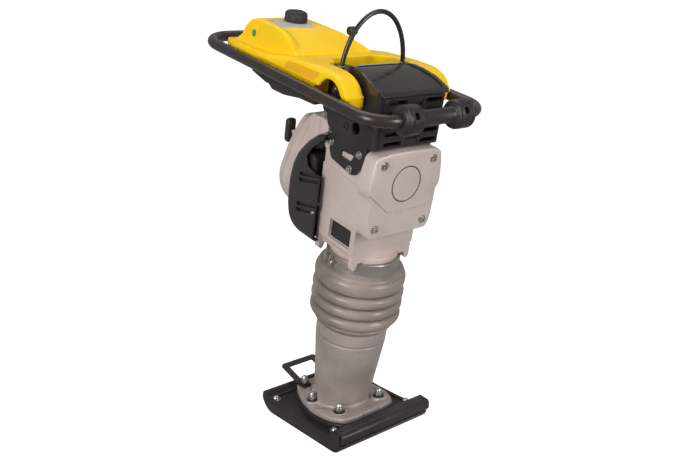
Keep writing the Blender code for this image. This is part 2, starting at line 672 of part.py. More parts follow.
def console():
    """Black moulding that carries the handle and holds the air filter."""
    side = [(-83, 759), (-83, 872), (95, 872), (107, 850), (107, 805), (79, 779), (76, 767),
            (60, 760), (57, 712), (48, 698), (-22, 685), (-36, 689), (-61, 722), (-61, 759)]
    body = plate("console_frame", side, -94, 94, "x", "black_plastic")
    bevel(body, 10, 2, 89)
    cut(body, box("console_inside", (-89, -77, 763), (89, 130, 900)),
        box("console_below", (-88.3, -120, 600), (88.3, 130, 758.6)))
    for row in range(5):
        for x, length in ((-44, 46), (56, 46)):
            cut(body, plate("console_slot", slot_outline(x, 772 + 22.3 * row, length, 9),
                            -100, -70, "y"))
    window = [(-25, 729), (20, 727), (20, 713), (-16, 712)]
    cut(body, plate("console_window", window, -110, 110, "x"))
    cut(body, cylinder("console_hole", 10, -110, 110, at=(0, -18, 784), along="x", steps=20))
    for z in (777, 829):
        ear = box("strap_gap", (-12, -100, z), (24, -79.5, z + 30))
        cut(body, ear)

    lid_side = [(-87, 872.6), (-87, 876), (-79, 882), (-40, 896), (-6, 904), (20, 907),
                (48, 903), (53, 886), (53, 872.6)]
    lid = plate("air_filter_lid", lid_side, -98, 98, "x", "black_plastic")
    lid_top = plate("lid_plan", mirrored([(0, -95), (85, -95), (97, -80), (97, -40), (86, 10),
                                          (75, 60), (0, 60)]), 850, 930, "z")
    keep_common(lid, lid_top)
    bevel(lid, 5, 2, 45)
    cut(lid, box("lid_space", (-70, -74, 860), (70, 40, 878)))
    element = plate("air_filter_element", rounded_box(-62, -66, 62, 34, 14), 768, 868, "z",
                    "filter_foam")
    cut(element, plate("filter_core", rounded_box(-48, -52, 48, 20, 8), 760, 880, "z"))


# ---------------------------------------------------------- handle and tank

def handle_path(z):
    corners = []
    for cx, cy, radius, start in ((HANDLE_HALF, HANDLE_REAR, HANDLE_REAR_BEND, 0),
                                  (-HANDLE_HALF, HANDLE_REAR, HANDLE_REAR_BEND, 90),
                                  (-HANDLE_HALF, HANDLE_FRONT, HANDLE_FRONT_BEND, 180),
                                  (HANDLE_HALF, HANDLE_FRONT, HANDLE_FRONT_BEND, 270)):
        mx = cx - math.copysign(radius, cx)
        my = cy - math.copysign(radius, cy)
        corners += [(x, y, z) for x, y in arc(mx, my, radius, start, start + 90, 4)]
    return corners


def handle():
    """Closed tube loop with four shock mount lugs and the throttle's bracket."""
    curve = tube("guide_handle", handle_path(HANDLE_Z), HANDLE_R, "black_paint", closed=True,
                 resolution=3)
    loop = as_mesh(curve, "black_paint")
    number = 0
    for y, z in ((-7, 849), (38, 858)):
        for side in (-1, 1):
            number += 1
            x0, x1 = sorted((side * 110, side * 114))
            join(loop, box("lug_upright", (x0, y - 12, 832), (x1, y + 12, z + 9)))
            x0, x1 = sorted((side * 112, side * 150))
            join(loop, box("lug_web", (x0, y - 12, 838), (x1, y + 12, 843)))
            low, high = sorted((side * 94.3, side * 109.7))
            cylinder(f"shock_mount_{number}", 11, low, high, "grey_rubber", (0, y, z), "x",
                     16)
    bracket = box("throttle_bracket", (150, THROTTLE_Y - 10, 852),
                  (154.5, THROTTLE_Y + 10, THROTTLE_Z + 10))
    pin = cylinder("throttle_pin", 3.5, 152, 163, at=(0, THROTTLE_Y, THROTTLE_Z), along="x",
                   steps=16)
    join(loop, bracket, pin)
    lever = plate("throttle_lever", [(y + THROTTLE_Y, z + THROTTLE_Z) for y, z in
                                     [(-9, 0), (-5, -9), (5, -9), (9, 0), (6, 26), (-6, 26)]],
                  155, 161, "x", "black_plastic")
    join(lever, cylinder("throttle_knob", 11, 146, 170, at=(0, THROTTLE_Y, THROTTLE_Z + 30),
                         along="x", steps=20))
    cut(lever, cylinder("throttle_bore", 3.9, 150, 165, at=(0, THROTTLE_Y, THROTTLE_Z),
                        along="x", steps=16))


def roller():
    """Dumbbell roller that turns freely on the handle's front tube."""
    bore = HANDLE_R + 0.6
    half = [(bore, 97), (24, 97), (29, 94), (ROLLER_R, 89), (ROLLER_R, 54), (28, 49),
            (20, 47), (16.8, 43)]
    profile = half + [(r, -x) for r, x in reversed(half)]
    turned("handle_roller", profile, "black_plastic", (0, HANDLE_FRONT, HANDLE_Z), "x", 16,
           ring=True)


def fuel_tank():
    """Yellow tank: two arms over the handle, a leaning hump behind with the filler."""
    arms = [(-42, ARM_BOTTOM), (-36, 868), (-27, 880), (-12, 891), (6, 898), (30, 901),
            (60, 901), (100, 898), (145, 895), (186, 890), (215, 884), (250, 877), (290, 873),
            (400, 871), (452, ARM_BOTTOM)]
    tank = plate("fuel_tank", arms, -ARM_HALF, ARM_HALF, "x", "tank_yellow")
    belly = [(72, 828), (72, 880), (440, 868), (466, 853), (460, 843), (340, 822.5),
             (78, 822.5)]
    join(tank, bevel(plate("tank_belly", belly, -141, 141, "x"), 6, 1, 70))
    hump = plate("tank_hump", [(182, 866), (188, 893), (250, 929), (264, 933), (340, 935),
                               (370, 925), (383, 912), (410, 880), (420, 862)], -124, 124,
                 "x")
    section = [(-122, 850), (-119, 922), (-111, 936), (0, 936), (46, 924), (77, 906),
               (100, 890), (124, 864), (124, 850)]
    keep_common(hump, plate("hump_section", section, 150, 450, "y"))
    join(tank, hump)
    bevel(tank, 7, 1, 40)
    plan = [(-ARM_INNER, -160), (ARM_INNER, -160), (ARM_INNER, 120), (84, 162), (-84, 162),
            (-ARM_INNER, 120)]
    cut(tank, plate("tank_gap", plan, 700, 1000, "z"))
    arch = [(62, 838), (-22, 838), (-20, 857), (-15, 866), (-7, 876), (6, 883), (20, 886),
            (34, 883), (47, 873), (58, 857)]
    cut(tank, plate("arm_window", arch, -200, 200, "x"))
    corner = plate("tank_corner", [(150, 380), (150, 480), (80, 480), (104, 470), (130, 440),
                                   (146, 400)], 700, 1000, "z")
    other = plate("tank_corner_right", [(-150, 380), (-146, 400), (-130, 440), (-104, 470),
                                        (-80, 480), (-150, 480)], 700, 1000, "z")
    cut(tank, corner, other)
    inside = plate("tank_inside", [(175, 830), (175, 872), (190, 868), (196, 888), (254, 922),
                                   (266, 927), (336, 928), (362, 919), (400, 870),
                                   (432, 862), (432, 848), (330, 829)], -114, 114, "x")
    room = [(-114, 820), (-112, 918), (-106, 929), (-3, 929), (43, 917), (73, 899),
            (95, 884), (114, 862), (114, 820)]
    keep_common(inside, plate("tank_room", room, 80, 440, "y"))
    cut(tank, inside)
    cut(tank, cylinder("filler_bore", 20, 900, 960, at=(CAP_X, CAP_Y, 0), steps=24))
    seat = ring("filler_seat", 20, 31, CAP_SEAT_Z - 5, CAP_SEAT_Z + 2.6,
                at=(CAP_X, CAP_Y, 0), steps=24)
    join(tank, seat)

    top = CAP_SEAT_Z + 2.6 + GAP
    turned("fuel_cap", [(0, top + 24), (22, top + 24), (26, top + 19), (27, top),
                        (18.5, top), (18.5, top - 12), (0, top - 12)], "black_plastic",
           (CAP_X, CAP_Y, 0), steps=24)


def tank_tray():
    """Black pan under the tank, between the handle's tubes."""
    line = [(70, 822.2), (70, 815), (126, 813), (183, 803), (232, 802), (246, 811),
            (257, 810), (322, 822.2)]
    inside = [(74, 830), (74, 818), (127, 816), (184, 806), (230, 805), (244, 814),
              (258, 813), (318, 830)]
    tray = plate("tank_tray", line, -140, 140, "x", "black_plastic")
    cut(tray, plate("tray_space", inside, -136, 136, "x"),
        box("tray_notch", (-98, 60, 780), (98, 112, 840)))


def lifting_loop():
    """Stiff wire rope loop with a crimped ferrule at each end."""
    points = [(x * LOOP_HALF, LOOP_Y, LOOP_BASE + z * (LOOP_TOP - LOOP_BASE))
              for x, z in arc(0, 0, 1, 0, 180, 16)]
    curve = tube("lifting_cable", points, 5.3, "dark_steel", resolution=2)
    loop = as_mesh(curve, "dark_steel")
    for side in (-1, 1):
        join(loop, cylinder("ferrule", 7, 873, 900, at=(side * (LOOP_HALF - 0.3), LOOP_Y, 0),
                            steps=16))


def build():
    for piece in (sole_plate, shoe_body, shoe_nose_bar, leg_casting, foot_nuts, foot_bracket,
                  spring_cylinder, springs, plunger, bellows, gear_case, cover, crank, pinion,
                  engine, muffler_guard, fan_housing, flywheel_and_starter, console, handle,
                  roller, fuel_tank, tank_tray, lifting_loop):
        piece()
    for obj in bpy.data.collections["jumping_jack_rammer"].objects:
        if obj.type == "MESH":
            smooth(obj)


LEAN = start_scene()
build()
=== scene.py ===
"""Looks of the jumping jack rammer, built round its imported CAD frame.

Shapes are given in millimetres.  The foot is upright.  Everything above it leans with
the ram leg: x to the operator's left, y towards the rear and z up the leg.
"""
import json
import math

import bmesh
import bpy
from mathutils import Matrix, Vector

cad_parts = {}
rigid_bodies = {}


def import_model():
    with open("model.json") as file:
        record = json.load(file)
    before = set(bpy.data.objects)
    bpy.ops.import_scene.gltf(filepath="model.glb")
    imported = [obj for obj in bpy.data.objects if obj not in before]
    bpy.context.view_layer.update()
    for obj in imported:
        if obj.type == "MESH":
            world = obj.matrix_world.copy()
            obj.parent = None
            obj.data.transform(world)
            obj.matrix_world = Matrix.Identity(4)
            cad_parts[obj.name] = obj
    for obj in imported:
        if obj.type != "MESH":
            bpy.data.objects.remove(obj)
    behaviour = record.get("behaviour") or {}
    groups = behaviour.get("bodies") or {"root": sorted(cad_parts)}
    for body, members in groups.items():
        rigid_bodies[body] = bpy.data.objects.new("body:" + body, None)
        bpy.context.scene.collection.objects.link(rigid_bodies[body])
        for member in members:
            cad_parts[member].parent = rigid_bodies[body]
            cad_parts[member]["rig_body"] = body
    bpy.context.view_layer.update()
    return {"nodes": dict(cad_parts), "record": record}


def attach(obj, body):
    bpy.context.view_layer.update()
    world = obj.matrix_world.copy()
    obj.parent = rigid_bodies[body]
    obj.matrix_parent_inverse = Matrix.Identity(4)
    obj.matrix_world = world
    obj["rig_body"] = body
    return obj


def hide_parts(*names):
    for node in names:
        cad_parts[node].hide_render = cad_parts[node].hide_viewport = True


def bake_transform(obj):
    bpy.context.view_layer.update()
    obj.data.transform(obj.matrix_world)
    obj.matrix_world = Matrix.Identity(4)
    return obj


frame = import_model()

MM = 0.001


def spin(degrees, axis):
    return Matrix.Rotation(math.radians(degrees), 4, axis)


def shift(x, y, z):
    return Matrix.Translation((x * MM, y * MM, z * MM))


LEAN_ANGLE = 13.5
LEAN_FOOT_Y = 22.0
UPRIGHT = Matrix.Identity(4)
LEAN = shift(0, LEAN_FOOT_Y, 0) @ spin(LEAN_ANGLE, "X")

CAMERA_PLACE = (-1.1603, -1.4663, 0.9886)
CAMERA_AZIMUTH, CAMERA_PITCH, CAMERA_ROLL = -39.11, 15.15, -1.0
CAMERA_LENS = 41.1

# Stage
WORLD_STRENGTH = 0.3
FLOOR_GLOW, WALL_GLOW = 0.98, 1.05
WALL_NEAR, WALL_LOW, WALL_HIGH = 24000, -600, 20000
PALE, PALE_PATCH = (0.4, 0.4, 0.4), (0.39, 0.39, 0.39)
WARM = (1, 0.97, 0.94)

# Casting and moulding: grid and rounds of smoothing, and the angle that leaves no sharp edge
LEG_CELL, LEG_SMOOTHING = 1.6, 3
TANK_CELL, TANK_SMOOTHING = 2.0, 9
SMOOTH = 180

# Foot
SHOE_HALF = 140.0
SOLE_THICKNESS = 4.0
DECK_Z, PAD_Z, FLANGE_Z = 28.0, 38.0, 52.0
FLANGE_HALF = [(0, -106), (47, -108), (77, -102), (93, -78), (102, -50), (104, -2), (92, 50),
    (73, 96), (49, 136), (0, 138)]
FOOT_STUDS = [(64.5, -64), (-64.5, -64), (76, 30), (-76, 30), (41, 110), (-41, 110)]

# Machine
CRANK_Z = 666.0
PINION_Z = 588.0
CASE_HALF = 88.0
COVER_FRONT, COVER_REAR = -100.0, -62.0
CLAMP_ANGLE = 168
COVER_BOLTS = [(-71, 730), (71, 730), (-71, 583.5), (71, 583.5)]
EMBLEM_Z = 681.0
FAN_R = 92.0
FAN_FRONT, FAN_SPLIT, FAN_REAR = 150.0, 200.0, 248.0
GRIP_X, GRIP_Z = -47.0, 682.0
HANDLE_R, HANDLE_HALF, HANDLE_Z = 13.0, 158.0, 847.0
HANDLE_FRONT, HANDLE_REAR = -145.0, 528.0
HANDLE_FRONT_BEND, HANDLE_REAR_BEND = 58.0, 82.0
ARM_INNER, ARM_BOTTOM = 103.0, 861.5
CAP_X, CAP_Y, CAP_SEAT_Z = -42.0, 300.0, 933.0
CAP_RIBS = 36
THROTTLE_Y, THROTTLE_Z = 330.0, 872.0
LABEL_THICKNESS = 0.25
LOOP_Y, LOOP_HALF, LOOP_BASE, LOOP_TOP = 61.0, 88.0, 880.0, 1012.0


# Materials

MATERIALS = {}


def surface(name, colour, roughness, metallic=0.0, other=None, patch=14.0, grain=900.0, bump=0.1,
        bump_size=0.3, spread=0.08, coat=0.0, scuff=None, scuff_share=0.3, level=0.5):
    """A finish with drifting colour, uneven gloss, fine grain and optional scuffs."""
    made = bpy.data.materials.new(name)
    made.use_nodes = True
    tree = made.node_tree
    nodes, links = tree.nodes, tree.links
    shader = nodes["Principled BSDF"]
    shader.inputs["Metallic"].default_value = metallic
    shader.inputs["Coat Weight"].default_value = coat
    shader.inputs["Specular IOR Level"].default_value = level
    shader.inputs["Coat Roughness"].default_value = 0.12
    place = nodes.new("ShaderNodeTexCoord").outputs["Object"]

    def noise(scale, detail, rough=0.5):
        texture = nodes.new("ShaderNodeTexNoise")
        texture.inputs["Scale"].default_value = scale
        texture.inputs["Detail"].default_value = detail
        texture.inputs["Roughness"].default_value = rough
        links.new(place, texture.inputs["Vector"])
        return texture.outputs["Fac"]

    def ramp(source, low, high, low_value, high_value):
        node = nodes.new("ShaderNodeMapRange")
        for socket, value in zip(("From Min", "From Max", "To Min", "To Max"),
                (low, high, low_value, high_value)):
            node.inputs[socket].default_value = value
        links.new(source, node.inputs["Value"])
        return node.outputs["Result"]

    def mix(factor, first, second):
        node = nodes.new("ShaderNodeMix")
        node.data_type = "RGBA"
        links.new(factor, node.inputs["Factor"])
        for socket, value in ((node.inputs["A"], first), (node.inputs["B"], second)):
            if isinstance(value, tuple):
                socket.default_value = (*value, 1)
            else:
                links.new(value, socket)
        return node.outputs["Result"]

    broad = noise(patch, 5.0)
    colours = mix(ramp(broad, 0.35, 0.65, 0, 1), colour, other or
        tuple(value * 0.86 for value in colour))
    rough = ramp(noise(patch * 4, 4.0), 0.3, 0.7, max(roughness - spread, 0.04), roughness + spread)
    if scuff:
        marks = ramp(noise(patch * 3, 8.0, 0.75), 0.62 - 0.1 * scuff_share, 0.7, 0, scuff_share)
        colours = mix(marks, colours, scuff)
    links.new(colours, shader.inputs["Base Color"])
    links.new(rough, shader.inputs["Roughness"])
    relief = nodes.new("ShaderNodeBump")
    relief.inputs["Strength"].default_value = bump
    relief.inputs["Distance"].default_value = bump_size * MM
    links.new(noise(grain, 3.0), relief.inputs["Height"])
    links.new(relief.outputs["Normal"], shader.inputs["Normal"])
    MATERIALS[name] = made
    return shader


surface("cast_metal", (0.70, 0.59, 0.56), 0.42, 0.2, (0.63, 0.53, 0.505), grain=700, bump=0.35,
    bump_size=0.4, spread=0.06)
surface("leg_metal", (0.47, 0.41, 0.385), 0.46, 0.25, (0.37, 0.32, 0.30), grain=600, bump=0.45,
    bump_size=0.5, spread=0.07, scuff=(0.16, 0.135, 0.12), scuff_share=0.35)
surface("zinc_steel", (0.72, 0.70, 0.67), 0.26, 1.0, (0.60, 0.58, 0.55), patch=60, grain=2500,
    bump=0.08)
surface("shoe_steel", (0.020, 0.0155, 0.0145), 0.38, 0.1, (0.035, 0.028, 0.026), grain=500, bump=0.3,
    coat=0.15, scuff=(0.16, 0.13, 0.11), scuff_share=0.25)
surface("machined_steel", (0.30, 0.29, 0.28), 0.28, 1.0, patch=40, grain=2000, bump=0.06)
surface("spring_steel", (0.25, 0.25, 0.26), 0.3, 1.0, patch=40, grain=1500, bump=0.06)
surface("tank_yellow", (1.0, 0.65, 0.001), 0.38, 0.0, (1.0, 0.62, 0.001), patch=9, grain=420,
    bump=0.05, bump_size=0.5, spread=0.05, level=0.4)
surface("label_yellow", (0.95, 0.50, 0.004), 0.42, patch=20, bump=0.05)
surface("black_plastic", (0.022, 0.018, 0.0175), 0.38, 0.0, (0.030, 0.025, 0.024), grain=1300,
    bump=0.22, bump_size=0.25, level=0.4)
surface("black_paint", (0.034, 0.020, 0.016), 0.3, 0.0, (0.026, 0.021, 0.019), grain=900, bump=0.04,
    bump_size=0.3, coat=0.15)
surface("grey_rubber", (0.36, 0.305, 0.28), 0.3, 0.0, (0.185, 0.156, 0.14), patch=10, grain=900,
    bump=0.1, spread=0.05)
surface("shoe_plastic", (0.020, 0.0155, 0.0145), 0.42, 0.0, (0.032, 0.025, 0.024), grain=800,
    bump=0.25, level=0.35, scuff=(0.09, 0.075, 0.07), scuff_share=0.3)
# The filter foam is near black as painted shade for the dark inside of the console.
surface("filter_foam", (0.035, 0.03, 0.027), 0.9, bump=0.6, bump_size=0.6)
surface("rope", (0.5, 0.48, 0.45), 0.9, patch=200, bump=0.5, bump_size=0.4)
surface("white_ceramic", (0.85, 0.85, 0.82), 0.25, bump=0.03)
surface("label_grey", (0.55, 0.54, 0.50), 0.45, patch=20, bump=0.05)
surface("green_dot", (0.05, 0.32, 0.07), 0.4, patch=60, bump=0.05)
surface("cable_sheath", (0.022, 0.02, 0.02), 0.3, 0.0, patch=50, grain=900, bump=0.2, coat=0.2)
surface("ring_grey", (0.075, 0.07, 0.068), 0.4, patch=40, bump=0.05)
surface("band_steel", (0.50, 0.46, 0.43), 0.34, 0.85, patch=30, grain=1500, bump=0.08)
surface("black_gloss", (0.02, 0.018, 0.017), 0.2, 0.0, (0.026, 0.023, 0.022), grain=700, bump=0.08,
    coat=0.25)


# Outlines

def polar(radius, degrees):
    """A point on a circle round the origin."""
    turn = math.radians(degrees)
    return radius * math.cos(turn), radius * math.sin(turn)


def arc(cx, cy, radius, start, end, steps=8):
    """Points on an arc, in degrees, both ends included."""
    angles = [math.radians(start + (end - start) * i / steps) for i in range(steps + 1)]
    return [(cx + radius * math.cos(a), cy + radius * math.sin(a)) for a in angles]


def mirrored(half):
    """Closes an outline whose right half runs between two points on its middle line."""
    return half + [(-x, y) for x, y in reversed(half) if x]


def rectangle(x0, y0, x1, y1):
    return [(x0, y0), (x1, y0), (x1, y1), (x0, y1)]


def span(side, a, b):
    """Two distances from the middle, on one side (-1 or 1), the lower first."""
    return sorted((side * a, side * b))


def side_rectangle(side, x0, y0, x1, y1):
    low, high = span(side, x0, x1)
    return rectangle(low, y0, high, y1)


def soften(points, radius, steps=4, closed=True):
    """Rounds the corners of an outline or of a line."""
    count = len(points)
    result = []
    for i, point in enumerate(points):
        if not closed and i in (0, count - 1):
            result.append(point)
            continue
        here = Vector(point)
        before, after = Vector(points[i - 1]), Vector(points[(i + 1) % count])
        back, ahead = before - here, after - here
        start = here + back.normalized() * min(radius, back.length * 0.48)
        end = here + ahead.normalized() * min(radius, ahead.length * 0.48)
        for k in range(steps + 1):
            t = k / steps
            bent = start * (1 - t) ** 2 + here * 2 * t * (1 - t) + end * t ** 2
            result.append(tuple(bent))
    return result


def inset(outline, distance):
    """Moves an outline's sides inwards, or outwards where distance is below zero."""
    count = len(outline)
    area = sum(outline[i - 1][0] * outline[i][1] - outline[i][0] * outline[i - 1][1] for i in
        range(count))
    side = 1 if area > 0 else -1
    moved = []
    for i, (x, y) in enumerate(outline):
        before, after = outline[i - 1], outline[(i + 1) % count]
        first = Vector((x - before[0], y - before[1])).normalized()
        second = Vector((after[0] - x, after[1] - y)).normalized()
        normals = [Vector((-edge.y, edge.x)) * side for edge in (first, second)]
        middle = (normals[0] + normals[1]).normalized()
        reach = distance / max(middle.dot(normals[0]), 0.5)
        moved.append((x + middle.x * reach, y + middle.y * reach))
    return moved


# Shapes

def link(obj):
    bpy.context.scene.collection.objects.link(obj)
    return obj


def new_object(name, points, faces, at):
    mesh = bpy.data.meshes.new(name)
    mesh.from_pydata([at @ (Vector(point) * MM) for point in points], [], faces)
    bm = bmesh.new()
    bm.from_mesh(mesh)
    bmesh.ops.remove_doubles(bm, verts=bm.verts, dist=1e-6)
    bmesh.ops.recalc_face_normals(bm, faces=bm.faces)
    bm.to_mesh(mesh)
    bm.free()
    return link(bpy.data.objects.new(name, mesh))


def on_axis(a, b, depth, facing):
    """A point of an outline at a depth: (y, z) for x, (x, z) for y, (x, y) for z."""
    return {"x": (depth, a, b), "y": (a, depth, b), "z": (a, b, depth)}[facing]


def loft(name, rings, at=LEAN, caps=True, around=True):
    """Skin over rings of points that all have the same count."""
    count = len(rings[0])
    points = [point for ring in rings for point in ring]
    faces = []
    for row in range(len(rings) - 1 + (0 if caps else 1)):
        low, high = row * count, (row + 1) % len(rings) * count
        for i in range(count if around else count - 1):
            j = (i + 1) % count
            faces.append((low + i, low + j, high + j, high + i))
    if caps:
        faces.append(tuple(range(count)))
        faces.append(tuple(range(len(points) - count, len(points))))
    return new_object(name, points, faces, at)


def pillow(name, outline, stations, facing, at=LEAN, corner=0.0, steps=3):
    """An outline swept through (depth, inset) stations, its corners rounded."""
    rings = []
    for depth, amount in stations:
        line = inset(outline, amount)
        if corner:
            line = soften(line, corner, steps)
        rings.append([on_axis(a, b, depth, facing) for a, b in line])
    return loft(name, rings, at)


def both_ways(stations):
    """Stations on the left as well, from those on the right that run outside in."""
    return [(-depth, amount) for depth, amount in stations] + stations[::-1]


def prism(name, outline, low, high, facing, at=LEAN):
    return pillow(name, outline, [(low, 0), (high, 0)], facing, at)


def box(name, low, high, at=LEAN):
    return prism(name, rectangle(low[0], low[1], high[0], high[1]), low[2], high[2], "z", at)


def turned(name, profile, centre=(0, 0, 0), along="z", steps=64, ring=False, at=LEAN):
    """A lathed piece; the profile is (radius, height) along its axis."""
    rings = []
    for i in range(steps):
        angle = 2 * math.pi * i / steps
        c, s = math.cos(angle), math.sin(angle)
        row = []
        for radius, height in profile:
            a, b = radius * c, radius * s
            row.append(tuple(p + q for p, q in zip(on_axis(a, b, height, along), centre)))
        rings.append(row)
    return loft(name, rings, at, caps=False, around=ring)


def rod(name, radius, low, high, centre=(0, 0, 0), along="z", steps=24, at=LEAN, chamfer=0.0):
    """A round bar, its ends chamfered."""
    c = chamfer
    line = [(0, high), (radius - c, high), (radius, high - c), (radius, low + c), (radius - c, low),
        (0, low)]
    return turned(name, line if c else [line[0], line[1], line[4], line[5]], centre, along, steps,
        at=at)


def tube(name, points, radius, closed=False, sides=16, at=LEAN):
    """A round section swept along points; radius may be a list, one for each point."""
    points = [Vector(point) for point in points]
    count = len(points)
    radii = radius if isinstance(radius, list) else [radius] * count
    tangents = []
    for i in range(count):
        before = points[i - 1] if closed or i else points[0]
        after = points[(i + 1) % count] if closed or i < count - 1 else points[-1]
        tangents.append((after - before).normalized())
    side = tangents[0].orthogonal().normalized()
    rings = []
    for point, tangent, r in zip(points, tangents, radii):
        side = (side - tangent * side.dot(tangent)).normalized()
        other = tangent.cross(side)
        ring = []
        for k in range(sides):
            angle = 2 * math.pi * k / sides
            ring.append(tuple(point + (side * math.cos(angle) + other * math.sin(angle)) * r))
        rings.append(ring)
    return loft(name, rings, at, caps=not closed)


# Finishing

def apply_modifiers(obj):
    bpy.context.view_layer.update()
    graph = bpy.context.evaluated_depsgraph_get()
    mesh = bpy.data.meshes.new_from_object(obj.evaluated_get(graph))
    obj.modifiers.clear()
    obj.data = mesh
    return obj


def combine(target, tools, operation):
    for tool in tools:
        modifier = target.modifiers.new(operation, "BOOLEAN")
        modifier.operation = operation
        modifier.object = tool
        modifier.solver = "EXACT"
        apply_modifiers(target)
        bpy.data.objects.remove(tool)
    return target


def cut(target, *tools):
    return combine(target, tools, "DIFFERENCE")


def join(target, *tools):
    return combine(target, tools, "UNION")


def common(target, *tools):
    return combine(target, tools, "INTERSECT")


def bevel(obj, width, segments=2, angle=35):
    modifier = obj.modifiers.new("Bevel", "BEVEL")
    modifier.width = width * MM
    modifier.segments = segments
    modifier.limit_method = "ANGLE"
    modifier.angle_limit = math.radians(angle)
    return apply_modifiers(obj)


def cast_skin(obj, cell, smoothing):
    """Turns crisp joins into a casting's or a moulding's small fillets."""
    remesh = obj.modifiers.new("Remesh", "REMESH")
    remesh.mode = "VOXEL"
    remesh.voxel_size = cell * MM
    remesh.use_smooth_shade = True
    soft = obj.modifiers.new("Smooth", "SMOOTH")
    soft.factor = 0.5
    soft.iterations = smoothing
    return apply_modifiers(obj)


def shade(obj, angle=32):
    obj.data.shade_smooth()
    obj.data.set_sharp_from_angle(angle=math.radians(angle))


def dress(obj, finish):
    obj.data.materials.clear()
    obj.data.materials.append(MATERIALS[finish])


SLOTS = {part["node"]: part["material_slot"] for part in frame["record"]["subparts"]}


def close_gaps(obj):
    """Welds what a boolean left open."""
    mesh = bmesh.new()
    mesh.from_mesh(obj.data)
    bmesh.ops.remove_doubles(mesh, verts=mesh.verts, dist=1e-6)
    bmesh.ops.dissolve_degenerate(mesh, edges=mesh.edges, dist=1e-6)
    rim = [edge for edge in mesh.edges if edge.is_boundary]
    if rim:
        bmesh.ops.holes_fill(mesh, edges=rim, sides=0)
    mesh.to_mesh(obj.data)
    mesh.free()


def piece(obj, node, finish=None, angle=32, slot=None):
    """Finishes a piece that stands for a CAD node and rides on its body."""
    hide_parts(node)
    return extra(obj, frame["nodes"][node]["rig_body"], slot or SLOTS[node], finish, angle)


def extra(obj, body, slot, finish=None, angle=32):
    """Finishes a piece that the CAD doesn't have and rides on a body."""
    dress(obj, finish or slot)
    close_gaps(obj)
    shade(obj, angle)
    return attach(obj, body)


# Foot

def hex_nut(name, radius, low, high, x, y, at=UPRIGHT):
    """Hexagon with its corners turned off at both ends."""
    corners = [polar(radius, 60 * i + 15) for i in range(6)]
    outline = [(x + a, y + b) for a, b in corners]
    nut = prism(name, outline, low, high, "z", at)
    across = radius * 0.87
    trim = turned(name + "_trim", [(0, high), (across, high), (radius, high - 1.6),
        (radius, low + 1.6), (across, low), (0, low)], (x, y, 0), steps=32, at=at)
    return common(nut, trim)


def sole():
    def line(thickness):
        return (arc(-126, 40, 40 - thickness, 200, 270, 14) + arc(122, 45, 45 - thickness, 270, 350,
            14))
    outline = line(0) + line(SOLE_THICKNESS)[::-1]
    plate = prism("sole_plate_skin", outline, -SHOE_HALF + 1, SHOE_HALF - 1, "x", UPRIGHT)
    piece(bevel(plate, 1.0), "sole_plate")


def shoe():
    gap = SOLE_THICKNESS + 0.3
    outline = (arc(-126, 40, 40 - gap, 185, 270, 14) + arc(122, 45, 45 - gap, 270, 358,
        14) + soften([(162, 50), (152, 47), (141, 36), (104, 33), (20, DECK_Z), (-60, DECK_Z),
        (-112, DECK_Z + 3), (-119, 40), (-128, 52), (-140, 56), (-153, 54)], 6, 4, closed=False))
    body = prism("shoe_skin", outline, -SHOE_HALF, SHOE_HALF, "x", UPRIGHT)
    bevel(body, 3.0, 3, 50)
    rim = prism("shoe_rim", soften(mirrored([(0, 150), (128, 150), (131, 60), (128, -104),
        (118, -112), (0, -112)]), 10), 10, 60, "z", UPRIGHT)
    deck = prism("shoe_deck", [(-108, DECK_Z), (-60, DECK_Z - 3), (20, DECK_Z - 3), (104, 30),
        (136, 33), (136, 70), (-108, 70)], -128, 128, "x", UPRIGHT)
    cut(body, common(deck, rim))
    pad = pillow("shoe_pad", mirrored([(x * 1.04, y * 1.02 - 1) for x, y in FLANGE_HALF]),
        [(DECK_Z - 8, 0), (PAD_Z - 3, 0), (PAD_Z - 1, 1), (PAD_Z, 3)], "z", UPRIGHT, 8)
    join(body, pad)
    for side in (-1, 1):
        for radius, depth in ((19, 1.4), (12, 2.2)):
            low, high = span(side, SHOE_HALF - 4, SHOE_HALF + depth)
            join(body, rod("roll_disc", radius, low, high, (0, -140, 36), "x", 40, UPRIGHT, 0.8))
    piece(body, "shoe_body", angle=40)


def nose_bar():
    outline = soften([(-137, 57), (-138, 60.5), (-166, 57.5), (-171, 52), (-169.5, 33), (-165, 33),
        (-165.2, 50.5), (-160, 55.5)], 1.6, 3)
    bar = prism("nose_bar_skin", outline, -SHOE_HALF, SHOE_HALF, "x", UPRIGHT)
    ridge = prism("nose_bar_ridge", soften([(-160, 57.6), (-159, 60), (-154, 60.6), (-153, 58)], 0.8,
        2), -136, 136, "x", UPRIGHT)
    piece(bevel(bar, 0.8, 2, 50), "shoe_nose_bar")
    extra(ridge, "leg", "shoe_steel")
    for index, x in enumerate((-107, 20, 128), 1):
        dome_bolt(f"nose_bolt_{index}", x, -97, 31, 7.5)
    for index, x in enumerate((-119, 119), 1):
        dome_bolt(f"rear_bolt_{index}", x, 131, 30, 11)


def dome_bolt(name, x, y, low, radius):
    """Round headed bolt with a washer under it."""
    line = [(0, low + radius), (radius * 0.45, low + radius * 0.93),
        (radius * 0.75, low + radius * 0.7), (radius * 0.86, low + radius * 0.42),
        (radius * 0.86, low + 2.4), (radius * 1.15, low + 2.2), (radius * 1.15, low - 6),
        (0, low - 6)]
    extra(turned(name, line, (x, y, 0), steps=32, at=UPRIGHT), "leg", "zinc_steel")


